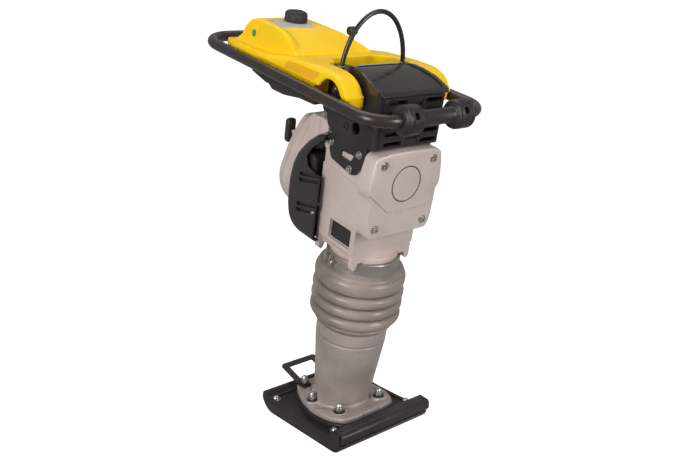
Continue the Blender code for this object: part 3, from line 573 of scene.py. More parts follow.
def leg():
    """Cone on a cast flange, with pockets and raised lips round the nuts."""
    cone = turned("leg_skin", [(0, 299.5), (79.7, 299.5), (79.7, 251), (86.2, 250), (87, 246),
        (72.4, 88), (71.4, 72), (71.2, 63), (72.4, 59), (76, 56.5), (76, 20), (0, 20)], steps=96)
    flange = pillow("leg_flange", mirrored(FLANGE_HALF), [(PAD_Z + 0.3, 1), (PAD_Z + 1.3, 0),
        (FLANGE_Z - 6, 0), (FLANGE_Z - 3, 0.8), (FLANGE_Z - 1, 2.6), (FLANGE_Z, 5)], "z", UPRIGHT, 9)
    join(cone, flange)
    cut(cone, box("leg_trim", (-130, -160, -40), (130, 170, PAD_Z + 0.3), UPRIGHT))
    base = pillow("leg_base", mirrored([(0, -90), (44, -90), (58, -72), (84, -34), (88, -4), (78, 26),
        (62, 44), (44, 78), (30, 96), (0, 98)]), [(FLANGE_Z - 3.2, 0), (FLANGE_Z + 8, 2)], "z",
        UPRIGHT, 6)
    tool = turned("leg_base_keep", [(0, FLANGE_Z + 9), (71.5, FLANGE_Z + 9), (71.5, 40), (0, 40)],
        (0, 8, 0), steps=64, at=UPRIGHT)
    cut(base, tool)
    cut(cone, base)
    for x, y in FOOT_STUDS[:4]:
        lip = turned("nut_lip", [(14, FLANGE_Z - 6), (21.5, FLANGE_Z - 6), (21, FLANGE_Z + 1.5),
            (19.8, FLANGE_Z + 3.5), (17.5, FLANGE_Z + 4), (15, FLANGE_Z + 2.5), (14, FLANGE_Z - 1)],
            (x, y, 0), steps=40, ring=True, at=UPRIGHT)
        pocket = rod("nut_pocket", 14, FLANGE_Z, 80, (x, y, 0), steps=40, at=UPRIGHT)
        join(cone, lip)
        cut(cone, pocket)
    for side in (-1, 1):
        for x0, y0, x1, y1 in ((86, -28, 101, -23), (84, 4, 99, 9), (20, -106, 25, -88)):
            rib = side_rectangle(side, x0, y0, x1, y1)
            join(cone, prism("leg_rib", rib, FLANGE_Z - 6, FLANGE_Z + 1.5, "z", UPRIGHT))
    cut(cone, rod("leg_cavity", 61, 74, 310, steps=48))
    piece(cast_skin(cone, LEG_CELL, LEG_SMOOTHING), "leg_casting", "leg_metal", SMOOTH)


def foot_nuts():
    for number, (x, y) in enumerate(FOOT_STUDS, 1):
        low = FLANGE_Z + (6.9 if number > 4 else 0.3)
        washer = turned(f"foot_washer_{number}", [(6, low), (12, low), (12.6, low + 1),
            (12.6, low + 3), (11.6, low + 4), (6, low + 4)], (x, y, 0), steps=40, ring=True,
            at=UPRIGHT)
        extra(washer, "leg", "black_plastic")
        nut = hex_nut(f"foot_nut_skin_{number}", 10.4, low + 4, low + 14, x, y)
        dome = turned("nut_dome", [(0, low + 24), (3.4, low + 23), (6, low + 20.5), (7.4, low + 17),
            (7.8, low + 13), (0, low + 13)], (x, y, 0), steps=32, at=UPRIGHT)
        piece(join(nut, dome), f"foot_nut_{number}")


def bracket():
    outer = mirrored([(0, 78), (50, 78), (56, 72), (53, -3), (0, -3)])
    inner = soften(mirrored([(0, 63), (39, 63), (37, -20), (0, -20)]), 5)
    tilt = shift(0, 126, 57.5) @ spin(20, "X")
    loop = pillow("foot_bracket_skin", outer, [(-3, 1), (-2, 0), (2, 0), (3, 1)], "z", tilt, 6)
    cut(loop, prism("bracket_hole", inner, -15, 15, "z", tilt))
    for side in (-1, 1):
        pad = soften(side_rectangle(side, 28, 96, 52.5, 128), 5)
        join(loop, prism("bracket_pad", pad, FLANGE_Z + 0.3, FLANGE_Z + 6.3, "z", UPRIGHT))
    piece(loop, "foot_bracket")


# Leg inside, bellows

def spring(name, node, low, high):
    """Coil of round wire with a flat turn at each end."""
    turns, per_turn, wire, radius, flat = 4, 24, 4.0, 32.0, 0.6
    middle_low, middle_high = low + wire + 0.6, high - wire - 0.6
    points = []
    for i in range(turns * per_turn + 1):
        share = i / (turns * per_turn)
        rise = min(max((share * turns - flat) / (turns - 2 * flat), 0), 1)
        angle = 2 * math.pi * share * turns
        height = middle_low + (middle_high - middle_low) * rise
        points.append((radius * math.cos(angle), radius * math.sin(angle), height))
    coil = tube(name, points, wire, sides=10)
    dress(coil, "spring_steel")
    shade(coil)
    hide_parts(node)
    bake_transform(coil)


def bellows():
    """Rubber boot of three rolls between a wide shoulder and two cuffs."""
    outer = [(84, 478), (84, 449), (87, 446.5), (96, 443.5), (101, 440), (102.5, 436.5), (102, 433.5),
        (104, 431.5), (107, 428), (108.5, 421), (108.5, 413), (106.5, 405), (102, 399.5), (95, 398.2)]
    for middle in (382, 352, 322):
        outer.append((89.5, middle + 15.2))
        for k in range(13):
            angle = math.radians(90 - 15 * k)
            outer.append((96 + 14 * max(math.cos(angle), 0) ** 0.85, middle + 13.9 * math.sin(angle)))
        outer.append((89.5, middle - 15.2))
    outer += [(95, 304.5), (98, 302), (98.5, 299), (96, 295.5), (91, 291.5), (86, 287.5),
        (83.4, 284.5), (83.3, 252)]
    inner = [(80, 252), (80, 290), (86, 303), (86, 437), (80.3, 441), (80.3, 478)]
    boot = turned("bellows_skin", soften(outer, 2.0, 2, closed=False) + inner, steps=120, ring=True)
    dress(boot, "grey_rubber")
    shade(boot, 50)
    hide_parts("bellows")
    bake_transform(boot)


def clamp_part(obj):
    extra(obj, "housing", "zinc_steel", "band_steel")


def clamp_bands():
    lower = turned("lower_band_skin", [(83.3, 252), (85.6, 252), (86.6, 253.5), (86.9, 257),
        (86.9, 281), (86.3, 283.5), (85, 284.3), (83.3, 284.3)], steps=96, ring=True)
    piece(lower, "lower_clamp_band", "leg_metal")
    band = turned("upper_band_skin", [(84.3, 449), (86.8, 449), (87.6, 450), (87.2, 452), (87.2, 473),
        (87.6, 475), (86.8, 476), (84.3, 476)], steps=96, ring=True)
    piece(band, "upper_clamp_band", "band_steel")
    turn = LEAN @ spin(CLAMP_ANGLE, "Z")
    for index, y in enumerate((-13, 13), 1):
        clamp_part(rod(f"clamp_trunnion_{index}", 5, 450.5, 474.5, (91.5, y, 0), at=turn,
            chamfer=0.8))
        saddle = box(f"clamp_saddle_{index}", (86.4, y - 7, 451), (89.4, y + 7, 474), turn)
        clamp_part(bevel(saddle, 1.0))
    clamp_part(rod("clamp_screw", 2.7, -26, 21, (92, 0, 462.5), "y", 20, turn, 0.5))
    clamp_part(rod("clamp_nut", 5.2, 18, 25, (92, 0, 462.5), "y", 6, turn, 0.8))
    section = ((86.9, 453), (88.6, 453), (88.6, 472), (86.9, 472))
    tab = loft("clamp_tab", [[(*polar(r, a), z) for r, z in section] for a in range(6, 42, 3)],
        at=turn)
    for a in (20, 27, 34):
        tab = cut(tab, rod("tab_hole", 3.0, 80, 95, (0, 0, 0), "x", 16,
            turn @ spin(a, "Z") @ shift(0, 0, 462.5)))
    clamp_part(tab)


# Gear case

def gear_case():
    """Cast case with stepped sides, a framed plate recess and corner lugs."""
    outline = soften(mirrored([(0, 750), (80, 750), (CASE_HALF, 742), (CASE_HALF, 512), (79, 494),
        (76, 482), (0, 482)]), 5, 3)
    case = prism("gear_case_skin", outline, -61.5, 76, "y")
    join(case, rod("case_neck", 80, 438.5, 489, steps=72, chamfer=1.5))
    band = soften([(78, 679), (-61.5, 666), (-61.5, 571), (76, 579)], 2, 3)
    join(case, prism("side_band", band, -CASE_HALF - 1.6, CASE_HALF + 1.6, "x"))
    lower = soften([(70, 508), (-61.5, 505), (-61.5, 566), (60, 568), (70, 560)], 3, 3)
    join(case, prism("plate_frame", lower, -CASE_HALF - 2.2, CASE_HALF + 2.2, "x"))
    for side in (-1, 1):
        lug = [(side * x, z) for x, z in ((87.5, 506), (72, 506), (70, 480), (76, 466), (81, 464),
            (87.5, 470))]
        join(case, prism("front_lug", soften(lug, 4, 3), -61.4, -49, "y"))
        join(case, prism("rear_lug", soften(lug, 4, 3), 60, 75.8, "y"))
        low, high = span(side, 84, 96)
        join(case, rod("rear_boss", 9, low, high - (3 if side > 0 else 0), (0, 66, 724), "x"))
        cut(case, prism("plate_recess", soften(rectangle(-47, 514, 28, 560), 4, 3), low, high, "x"))
    chamber = mirrored([(0, 742), (74, 742), (80, 735), (80, 520), (68, 496), (0, 496)])
    opening = mirrored([(0, 740), (73, 740), (79, 734), (79, 572), (0, 572)])
    cut(case, prism("case_chamber", chamber, -52, 68, "y"),
        prism("case_opening", opening, -70, -45, "y"))
    join(case, rod("bearing_boss", 30, 42, 72, (0, 0, CRANK_Z), "y", 40))
    cut(case, rod("bearing_bore", 22.3, 40, 66, (0, 0, CRANK_Z), "y", 40),
        rod("pinion_hole", 9, 50, 90, (0, 0, PINION_Z), "y", 32),
        rod("neck_bore", 57.3, 430, 500, steps=64))
    piece(bevel(case, 1.0, 2, 40), "gear_case")
    for index, side in enumerate((-1, 1), 1):
        low, high = span(side, 84, 87.4)
        stations = [(low, 0), (high - 1.6, 0), (high, 1.6)]
        if side < 0:
            stations = [(low, 1.6), (low + 1.6, 0), (high, 0)]
        badge = pillow(f"blank_plate_{index}", rectangle(-44, 517, 25, 557), stations, "x", corner=5)
        extra(badge, "housing", "black_plastic")


def cover():
    """Front cover with sunk screws and a plain ring."""
    outline = mirrored([(0, 757), (55, 755.5), (86, 751), (94, 745), (101, 715), (105, 678),
        (103, 664), (97, 657), (96, 594), (92, 572), (84, 561), (0, 560)])
    stations = [(COVER_REAR, 0), (COVER_FRONT + 5, 0), (COVER_FRONT + 2.5, 0.7),
        (COVER_FRONT + 0.8, 2.2), (COVER_FRONT, 4.5)]
    shell = pillow("cover_skin", outline, stations, "y", corner=5)
    hollow = mirrored([(0, 748), (82, 742), (88, 734), (88, 600), (82, 572), (0, 570)])
    cut(shell, prism("cover_hollow", hollow, COVER_FRONT + 9, COVER_REAR + 5, "y"))
    step = [(-120, 540), (-120, 684), (-104, 670), (-42, 617), (80, 618.5), (120, 617), (120, 540)]
    cut(shell, prism("cover_step", step, COVER_FRONT - 5, COVER_FRONT + 1.8, "y"))
    groove = [(-120, 685.4), (-103.6, 671.2), (-41.8, 618.4), (72, 619.8), (72, 618.2),
        (-42.4, 616.6), (-104.4, 669.4), (-120, 683)]
    cut(shell, prism("cover_groove", groove, COVER_FRONT - 5, COVER_FRONT + 2.6, "y"))
    for x, z in COVER_BOLTS:
        for radius, depth, steps in ((10.5, 3.2, 40), (4.4, 12, 24)):
            cut(shell, rod("bolt_hole", radius, COVER_FRONT - 6, COVER_FRONT + depth, (x, 0, z), "y",
                steps))
    piece(bevel(shell, 0.6, 2, 40), "gear_case_cover")
    line = [(39.2, COVER_FRONT + 2), (39.2, COVER_FRONT - 0.3), (39.7, COVER_FRONT - 0.8),
        (41.4, COVER_FRONT - 0.8), (41.9, COVER_FRONT - 0.3), (41.9, COVER_FRONT + 2)]
    ring = turned("plain_ring", line, (0, 0, EMBLEM_Z), "y", 96, ring=True)
    extra(ring, "housing", "cast_metal", "ring_grey")
    for number, (x, z) in enumerate(COVER_BOLTS, 1):
        seat = COVER_FRONT + 3.1
        socket = [(0, seat + 9), (4, seat + 9), (4, seat), (8.8, seat), (8.8, seat - 1.4),
            (6.6, seat - 1.5), (6.6, seat - 6.4), (6, seat - 7), (3.6, seat - 7), (3.2, seat - 3.5),
            (0, seat - 3.5)]
        piece(turned(f"cover_bolt_skin_{number}", socket, (x, 0, z), "y", 32), f"cover_bolt_{number}")


# Engine

GUARD_LINE = [(40, 757), (88, 742), (122, 714), (150, 682), (166, 650), (174, 610), (173, 546),
    (163, 513), (144, 495), (120, 488), (40, 488)]


def muffler_guard():
    """Domed guard, open to the front, with slots and a window on the cylinder."""
    stations = [(-62, 0), (-99, 0), (-104, 1.2), (-108, 3.6), (-111.2, 7.5), (-112.8, 12.5),
        (-113, 17)]
    guard = pillow("muffler_guard_skin", GUARD_LINE, stations, "x", corner=10, steps=4)
    inside = [(-50, 3.5), (-98, 3.5), (-103, 5), (-107, 8), (-109.2, 13), (-109.6, 18)]
    cut(guard, pillow("guard_hollow", GUARD_LINE, inside, "x", corner=10, steps=4))
    cut(guard, box("guard_front", (-130, 20, 470), (-40, 59, 770)),
        box("guard_case", (-92.5, 40, 470), (-40, 80, 770)),
        box("guard_relief", (-97, 149, 470), (-50, 190, 760)))
    for z in (544.5, 559, 618.5, 633):
        slot = soften([(50, z + 24), (50, z + 17), (124, z - 4), (131, z - 1), (129, z + 4)], 2.5, 3)
        cut(guard, prism("guard_slot", slot, -125, -104, "x"))
    window = soften([(40, 750), (60, 736), (98, 704), (113, 680), (104, 660), (72, 652), (40, 652)],
        7)
    cut(guard, prism("guard_window", window, -125, -60, "x"))
    piece(guard, "muffler_guard", "black_gloss", slot="black_plastic", angle=45)
    back = soften([(82, 492), (118, 492), (142, 499), (150, 512), (150, 556), (82, 556)], 4)
    liner = pillow("guard_liner", back, [(-72, 0.6), (-71.4, 0), (-69.6, 0), (-69, 0.6)], "x")
    extra(liner, "housing", "black_plastic")
    # A black sheet just behind the slots is painted shade that keeps the inside of the guard dark.
    slot_shade_sheet = prism("guard_slot_shade_sheet", soften(inset(GUARD_LINE, 9), 5), -106.5, -104.5, "x")
    cut(slot_shade_sheet, box("shade_sheet_front", (-120, 20, 470), (-90, 62, 770)),
        box("shade_sheet_top", (-120, 20, 650), (-90, 190, 770)))
    extra(slot_shade_sheet, "housing", "black_plastic")
    screw = turned("guard_screw", [(0, -116.6), (3, -116.2), (4.4, -114.6), (4.4, -110), (0, -110)],
        (0, 67, 560), "x", 24)
    extra(screw, "housing", "zinc_steel")


def fan_housing():
    """Shroud with the cylinder's cowl, and the starter housing behind it."""
    top = [(74, 660), (58, 694), (42, 722), (28, 736)]
    outline = [(-x, z) for x, z in top] + top[::-1] + arc(0, PINION_Z, FAN_R, 25, -205, 40)
    shroud = pillow("fan_shroud_skin", outline, [(FAN_FRONT, 1.5), (FAN_FRONT + 1.5, 0),
        (FAN_SPLIT - 0.8, 0), (FAN_SPLIT, 0.8)], "y", corner=8)
    cut(shroud, pillow("fan_space", outline, [(FAN_FRONT + 5, 6), (FAN_SPLIT + 10, 6)], "y",
        corner=6), rod("shroud_eye", 40, FAN_FRONT - 10, FAN_FRONT + 20, (0, 0, PINION_Z), "y", 40))
    side = [(60, 700), (60, 772), (146, 770), (152, 758), (152, 700)]
    stations = both_ways([(85, 5), (84, 2.5), (81.5, 0.8), (78, 0)])
    cowl = pillow("cylinder_cowl", side, stations, "x", corner=4)
    cut(cowl, box("cowl_front", (-100, 40, 680), (100, 80.5, 790)),
        box("cowl_bottom", (-100, 40, 680), (100, 160, 701)))
    join(shroud, cowl)
    cut(shroud, box("cowl_space", (-80.5, 60, 660), (80.5, 146.5, 767)),
        box("cowl_vent", (-36, 140, 630), (36, 167, 738)),
        prism("cowl_notch", soften(inset(GUARD_LINE, -1.5), 9, 4), -120, -57, "x"),
        prism("cowl_crease", soften(rectangle(110, 690, 112.4, 764), 0.8, 2), -90, -83.6, "x"))
    piece(shroud, "fan_shroud")

    stations = [(FAN_SPLIT + 0.3, 0), (222, 0), (222.6, 2.6), (225, 2.6), (226, 0.8), (236, 2.0),
        (243, 5), (247, 10), (FAN_REAR, 15)]
    starter = pillow("starter_skin", outline, stations, "y", corner=8)
    cut(starter, pillow("starter_space", outline, [(FAN_SPLIT - 10, 8), (238, 8)], "y", corner=5))
    join(starter, rod("pulley_post", 6, 206, FAN_REAR - 4, (0, 0, PINION_Z), "y"))
    hole = soften([(37, -2.6), (70, -4.4), (70, 4.4), (37, 2.6)], 2, 2)
    for i in range(24):
        turn = math.radians(15 * i)
        slot = [(r * math.cos(turn) - t * math.sin(turn),
            PINION_Z + r * math.sin(turn) + t * math.cos(turn)) for r, t in hole]
        cut(starter, prism("air_slot", slot, 230, 260, "y"))
    boss = rod("rope_boss", 10, 232, FAN_REAR + 2, (GRIP_X, 0, GRIP_Z), "y", 32, chamfer=1.5)
    join(starter, boss)
    cut(starter, rod("rope_eye", 3.4, 225, 262, (GRIP_X, 0, GRIP_Z), "y", 20))
    piece(starter, "starter_housing")

    front = FAN_REAR + 14
    outline = rectangle(GRIP_X - 12, GRIP_Z - 30, GRIP_X + 12, GRIP_Z + 30)
    grip = pillow("starter_grip_skin", outline, [(front, 5), (front + 1.5, 2), (front + 5, 0),
        (front + 13, 0.5), (front + 18, 3), (front + 20, 7)], "y", corner=8, steps=5)
    for z in (-16, -5.5, 5.5, 16):
        cut(grip, box("grip_groove", (GRIP_X - 14, front + 17.5, GRIP_Z + z - 1.5),
            (GRIP_X + 14, front + 24, GRIP_Z + z + 1.5)))
    piece(grip, "starter_grip")

    rope_points = [(GRIP_X, y, GRIP_Z) for y in range(234, 263, 2)]
    radii = [2.2 + 0.18 * math.cos(math.pi * i) for i in range(len(rope_points))]
    rope = tube("starter_rope_skin", rope_points, radii, sides=12)
    dress(rope, "rope")
    shade(rope)
    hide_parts("starter_rope")
    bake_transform(rope)


# Console

def hex_head(name, low, high, place):
    head = rod(name, 6.6, low, high, place, "x", 6, chamfer=0.8)
    extra(head, "housing", "zinc_steel")


def console():
    side = soften([(-83, 759), (-83, 872), (95, 872), (107, 850), (107, 805), (79, 779), (76, 767),
        (60, 760), (57, 712), (48, 698), (-22, 685), (-36, 689), (-61, 722), (-61, 759)], 4, 3)
    body = prism("console_skin", side, -94, 94, "x")
    plan = soften(mirrored([(0, -83), (94, -83), (94, 107), (0, 107)]), 13, 6)
    common(body, prism("console_plan", plan, 600, 900, "z"))
    for x0, x1 in ((-84, -13), (25, 84)):
        panel = pillow("slot_panel", rectangle(x0, 763, x1, 869), [(-80, 0), (-84.6, 0), (-86, 1.4)],
            "y", corner=8)
        join(body, panel)
    cut(body, box("console_inside", (-89, -77, 763), (89, 130, 900)),
        box("console_below", (-88.3, -120, 600), (88.3, 130, 758.6)))
    for row in range(5):
        for middle in (-48, 55):
            z = 772 + 22.3 * row
            slot = soften(rectangle(middle - 25, z - 4.5, middle + 25, z + 4.5), 4.3, 4)
            cut(body, prism("console_slot", slot, -100, -70, "y"))
    window = soften([(-25, 729), (20, 727), (20, 713), (-16, 712)], 3, 3)
    cut(body, prism("console_window", window, -110, 110, "x"),
        rod("console_hole", 13, -110, 110, (0, -18, 788), "x", 40))
    for side in (-1, 1):
        join(body, rod("console_boss", 7.5, *span(side, 92, 97.5), (0, 14, 782), "x", 32,
            chamfer=1.2))
        cut(body, rod("boss_bore", 3.4, *span(side, 95, 99), (0, 14, 782), "x", 24))
    for z in (777, 829):
        cut(body, box("strap_gap", (-9, -100, z), (21, -79.5, z + 30)))
    for sign in (-1, 1):
        rib = prism("side_rib", soften([(-74, 798), (-74, 802), (-30, 810), (4, 822), (20, 838),
            (24, 834), (8, 816), (-28, 805)], 1.5, 3), *span(sign, 93, 95.4), "x")
        join(body, rib)
    piece(bevel(body, 1.0, 2, 50), "console_frame")
    for number, (y, z) in enumerate(((88, 785), (55, 734), (-41, 737), (-16, 696)), 1):
        for sign in (-1, 1):
            where = f"{number}_{'r' if sign < 0 else 'l'}"
            washer = rod(f"console_washer_{where}", 8.6, *span(sign, 93.6, 95.2), (0, y, z), "x", 32,
                chamfer=0.3)
            extra(washer, "housing", "zinc_steel")
            hex_head(f"console_bolt_{where}", *span(sign, 95, 100), (0, y, z))

    top = soften([(-87, 872.6), (-87.5, 877), (-80, 883), (-40, 896), (-6, 904), (20, 907), (48, 903),
        (53, 886), (53, 872.6)], 6, 4)
    lid = prism("lid_skin", top, -98, 98, "x")
    plan = soften(mirrored([(0, -97), (85, -97), (97, -80), (97, -40), (86, 10), (75, 60), (0, 60)]),
        8, 5)
    common(lid, prism("lid_plan", plan, 850, 930, "z"))
    bevel(lid, 3.2, 3, 40)
    panel_side = [(-80, 880.4), (-40, 893.4), (-6, 901.4), (20, 904.4), (40, 902.6), (60, 940),
        (-100, 940), (-100, 876)]
    panel = prism("lid_panel", panel_side, -120, 120, "x")
    panel_plan = soften(mirrored([(0, -79), (82, -79), (86, -72), (86, -40), (75, 10), (68, 38),
        (0, 38)]), 7, 4)
    cut(lid, common(panel, prism("panel_plan", panel_plan, 850, 960, "z")))
    cut(lid, box("lid_space", (-70, -74, 860), (70, 40, 878)))
    piece(lid, "air_filter_lid", "black_gloss", slot="black_plastic")
    duct = soften([(-68, 54), (14, 54), (14, 98), (8, 103), (-18, 104), (-24, 112), (-26, 130),
        (-54, 134), (-66, 104)], 4, 3)
    block = pillow("intake_duct", duct, [(832, 0), (880, 0), (883, 0.8), (884.5, 3)], "z")
    extra(bevel(block, 0.8, 2, 50), "housing", "black_plastic")
    strip = soften(rectangle(-58, 40, 58, 48), 3.5, 4)
    trim = common(prism("lid_strip", [(-90, 880), (20, 907.6), (50, 903.4), (60, 880)], -60, 60, "x"),
        prism("strip_plan", strip, 880, 930, "z"))
    extra(trim, "housing", "black_plastic", "label_grey")


# Handle, mounts

MOUNT_LINE = [(0, 94.3), (10.4, 94.3), (11, 95), (11, 96.5), (9.2, 98), (9.2, 106), (11, 107.5),
    (11, 109), (10.4, 109.7), (0, 109.7)]


def handle_path(z, steps=10):
    corners = []
    for cx, cy, radius, start in ((HANDLE_HALF, HANDLE_REAR, HANDLE_REAR_BEND, 0),
            (-HANDLE_HALF, HANDLE_REAR, HANDLE_REAR_BEND, 90),
            (-HANDLE_HALF, HANDLE_FRONT, HANDLE_FRONT_BEND, 180),
            (HANDLE_HALF, HANDLE_FRONT, HANDLE_FRONT_BEND, 270)):
        mx = cx - math.copysign(radius, cx)
        my = cy - math.copysign(radius, cy)
        corners += [(x, y, z) for x, y in arc(mx, my, radius, start, start + 90, steps)]
    return corners


def handle():
    loop = tube("guide_handle_skin", handle_path(HANDLE_Z), HANDLE_R, closed=True, sides=32)
    number = 0
    for y, z in ((-7, 849), (38, 858)):
        for side in (-1, 1):
            number += 1
            upright = soften([(y - 12, 832), (y + 12, 832), (y + 12, z + 4), (y + 7, z + 10),
                (y - 7, z + 10), (y - 12, z + 4)], 3, 3)
            join(loop, prism("lug_upright", upright, *span(side, 110, 114), "x"))
            web = soften(side_rectangle(side, 112, y - 12, 150, y + 12), 2)
            join(loop, prism("lug_web", web, 838, 843, "z"))
            line = [(radius, side * x) for radius, x in MOUNT_LINE]
            mount = turned(f"shock_mount_skin_{number}", line, (0, y, z), "x", 40)
            piece(mount, f"shock_mount_{number}")
            hex_head(f"shock_bolt_{number}", *span(side, 114, 120), (0, y, z))
    bracket_plate = soften(rectangle(THROTTLE_Y - 10, 852, THROTTLE_Y + 10, THROTTLE_Z + 10), 4, 3)
    join(loop, prism("throttle_bracket", bracket_plate, 150, 154.5, "x"),
        rod("throttle_pin", 3.5, 152, 163, (0, THROTTLE_Y, THROTTLE_Z), "x", 24))
    piece(loop, "guide_handle")

    outline = [(y + THROTTLE_Y, z + THROTTLE_Z) for y, z in [(-9, 0), (-5, -9), (5, -9), (9, 0),
        (6, 26), (-6, 26)]]
    lever = pillow("throttle_skin", outline, [(155, 0.8), (155.8, 0), (160.2, 0), (161, 0.8)], "x",
        corner=3)
    knob = turned("throttle_knob", [(0, 146), (8.5, 146), (10.4, 147.4), (11, 150), (11, 166),
        (10.4, 168.6), (8.5, 170), (0, 170)], (0, THROTTLE_Y, THROTTLE_Z + 30), "x", 40)
    join(lever, knob)
    cut(lever, rod("throttle_bore", 3.9, 150, 165, (0, THROTTLE_Y, THROTTLE_Z), "x", 24))
    piece(lever, "throttle_lever")


def roller():
    """Two barrels on a waisted tube, with a parting line and screw holes."""
    bore = HANDLE_R + 0.6
    half = [(bore, 97), (20, 97), (22.5, 96.4), (25.5, 94.2), (28.6, 91.6), (30.4, 90.6), (31, 88.4),
        (31, 84), (29.6, 83.4), (29.6, 82), (31, 81.4), (31, 57), (30.2, 54), (28, 50.8), (23, 48.8),
        (18, 47), (16.8, 43)]
    half = half[:1] + soften(half[1:], 1.2, 3, closed=False)
    profile = half + [(r, -x) for r, x in reversed(half)]
    body = turned("roller_skin", profile, (0, HANDLE_FRONT, HANDLE_Z), "x", 72, ring=True)
    centre = LEAN @ shift(0, HANDLE_FRONT, HANDLE_Z)
    for x, angle in ((-75, 148), (-75, 328), (66, 148), (66, 328)):
        turn = centre @ spin(angle, "X")
        cut(body, rod("screw_hole", 7.5, 22, 40, (x, 0, 0), "y", 24, turn))
    for angle in (0, 180):
        turn = centre @ spin(115 + angle, "X")
        cut(body, box("parting_line", (-99, 30.4, -0.35), (99, 34, 0.35), turn))
    piece(body, "handle_roller")


# Tank

ARM_RAW = [(-42, ARM_BOTTOM), (-39, 865), (-36, 868), (-31, 875), (-27, 880), (-20, 886.5),
    (-12, 891), (-4, 895), (6, 898), (18, 900.3), (30, 901), (60, 901), (100, 898), (145, 895),
    (186, 890), (215, 884), (250, 877), (290, 873), (400, 871), (425, 869), (452, ARM_BOTTOM)]
ARM_LINE = soften(ARM_RAW, 12, 3, closed=False)
ARCH = [(62, 838), (-22, 838), (-20, 857), (-15, 866), (-7, 876), (6, 883), (20, 886), (34, 883),
    (47, 873), (58, 857)]


def arm_ring(x):
    """Section of the tank's arms at x: the top edge rounds off, less so at the front."""
    reach = max(abs(x) - 132, 0) / 17
    fall = 12 * (1 - math.sqrt(max(1 - reach ** 2, 0)))
    ring = []
    for y, z in ARM_LINE:
        share = min(max((y + 20) / 80, 0.15), 1)
        ring.append((x, y, z if z <= ARM_BOTTOM else max(z - fall * share, ARM_BOTTOM + 1)))
    return ring


def fuel_tank():
    right = (149, 148.6, 147.3, 145, 141.5, 137, 132)
    tank = loft("fuel_tank_skin", [arm_ring(x) for x in [-x for x in right] + [*right[::-1]]])
    belly = [(72, 828), (72, 880), (440, 868), (466, 853), (460, 843), (340, 822.5), (78, 822.5)]
    stations = both_ways([(141, 5), (139.8, 2.6), (137.5, 0.8), (135, 0)])
    join(tank, pillow("tank_belly", belly, stations, "x", corner=5))
    skirt = soften([(285, 840), (285, 872.6), (400, 871), (417, 861), (463, 851), (463, 843)], 3, 3)
    join(tank, prism("tank_skirt", skirt, -147, 147, "x"))
    hump_side = soften([(175, 860), (176, 894), (186, 900), (248, 929), (264, 934), (340, 936),
        (372, 927), (385, 913), (402, 884), (420, 872), (424, 858)], 7, 4)
    hump = prism("tank_hump", hump_side, -124.5, 124.5, "x")
    section = soften([(-124.5, 850), (-123, 872), (-120, 912), (-111, 932), (-96, 936.5), (0, 936.5),
        (46, 924.5), (77, 906), (100, 890), (124, 866), (124, 850)], 7, 4)
    common(hump, prism("hump_section", section, 150, 450, "y"))
    join(tank, hump)
    cheek = [(172, 862), (176, 884), (184, 896), (194, 907), (205, 915), (218, 923), (233, 929),
        (255, 934), (281, 936), (330, 936), (330, 862)]
    cheek = pillow("tank_cheek", cheek, [(-123.5, 4), (-122.6, 1.6), (-120.5, 0), (-109, 0.5),
        (-102, 4), (-96, 10)], "x", corner=3)
    join(tank, cheek)
    plan = soften([(-ARM_INNER, -160), (ARM_INNER, -160), (ARM_INNER, 112), (76, 140), (-60, 140),
        (-70, 106), (-ARM_INNER, 82)], 8, 3)
    cut(tank, prism("tank_gap", plan, 700, 1000, "z"))
    cut(tank, prism("arm_window", soften(ARCH, 3, 2), -200, 200, "x"))
    for side in (-1, 1):
        corner = [(side * x, y) for x, y in ((151, 380), (151, 480), (70, 480), (104, 472),
            (128, 450), (143, 420), (147.5, 395))]
        cut(tank, prism("tank_corner", corner, 700, 1000, "z"))
    pocket = soften([(-15, 838), (-13, 862), (-3, 876), (14, 886), (34, 888), (70, 884), (112, 874),
        (122, 860), (122, 838)], 5, 3)
    toe = soften([(-42, 866), (-42, 841), (-37, 836.5), (-24, 837), (-23.5, 866)], 2, 3)
    edge = [(-42, 866), (-42, 857), (-22, 857), (-21, 866)]
    for side in (-1, 1):
        cut(tank, prism("arm_pocket", pocket, *span(side, 96, 139), "x"))
        join(tank, prism("arm_toe", toe, *span(side, 104, 141), "x"))
        join(tank, prism("arm_edge", edge, *span(side, 140, 148.4), "x"))
    cut(tank, rod("filler_bore", 20, 900, 960, (CAP_X, CAP_Y, 0), steps=48))
    seat = turned("filler_seat", [(20, 926), (31, 926), (31, 934), (30, 935.6), (20, 935.6)],
        (CAP_X, CAP_Y, 0), steps=64, ring=True)
    join(tank, seat)
    cast_skin(tank, TANK_CELL, TANK_SMOOTHING)
    labels(tank)
    piece(tank, "fuel_tank", angle=SMOOTH)

    top = CAP_SEAT_Z + 2.9
    rings = []
    for height, radius, depth in ((0, 26.6, 0.9), (17, 26.4, 0.9), (20, 25.2, 0.6), (22.5, 23, 0.2),
            (24, 19.5, 0)):
        ring = []
        for i in range(CAP_RIBS * 4):
            angle = 2 * math.pi * i / (CAP_RIBS * 4)
            r = radius - (depth if i % 4 in (2, 3) else 0)
            ring.append((CAP_X + r * math.cos(angle), CAP_Y + r * math.sin(angle), top + height))
        rings.append(ring)
    cap = loft("fuel_cap_skin", rings)
    join(cap, rod("cap_plug", 18.5, top - 12, top + 2, (CAP_X, CAP_Y, 0), steps=48))
    disc = prism("cap_bar", soften(rectangle(-15, -4, 15, 4), 3, 3), 0, 2, "z",
        LEAN @ shift(CAP_X, CAP_Y, top + 23.6))
    join(cap, disc)
    piece(cap, "fuel_cap")


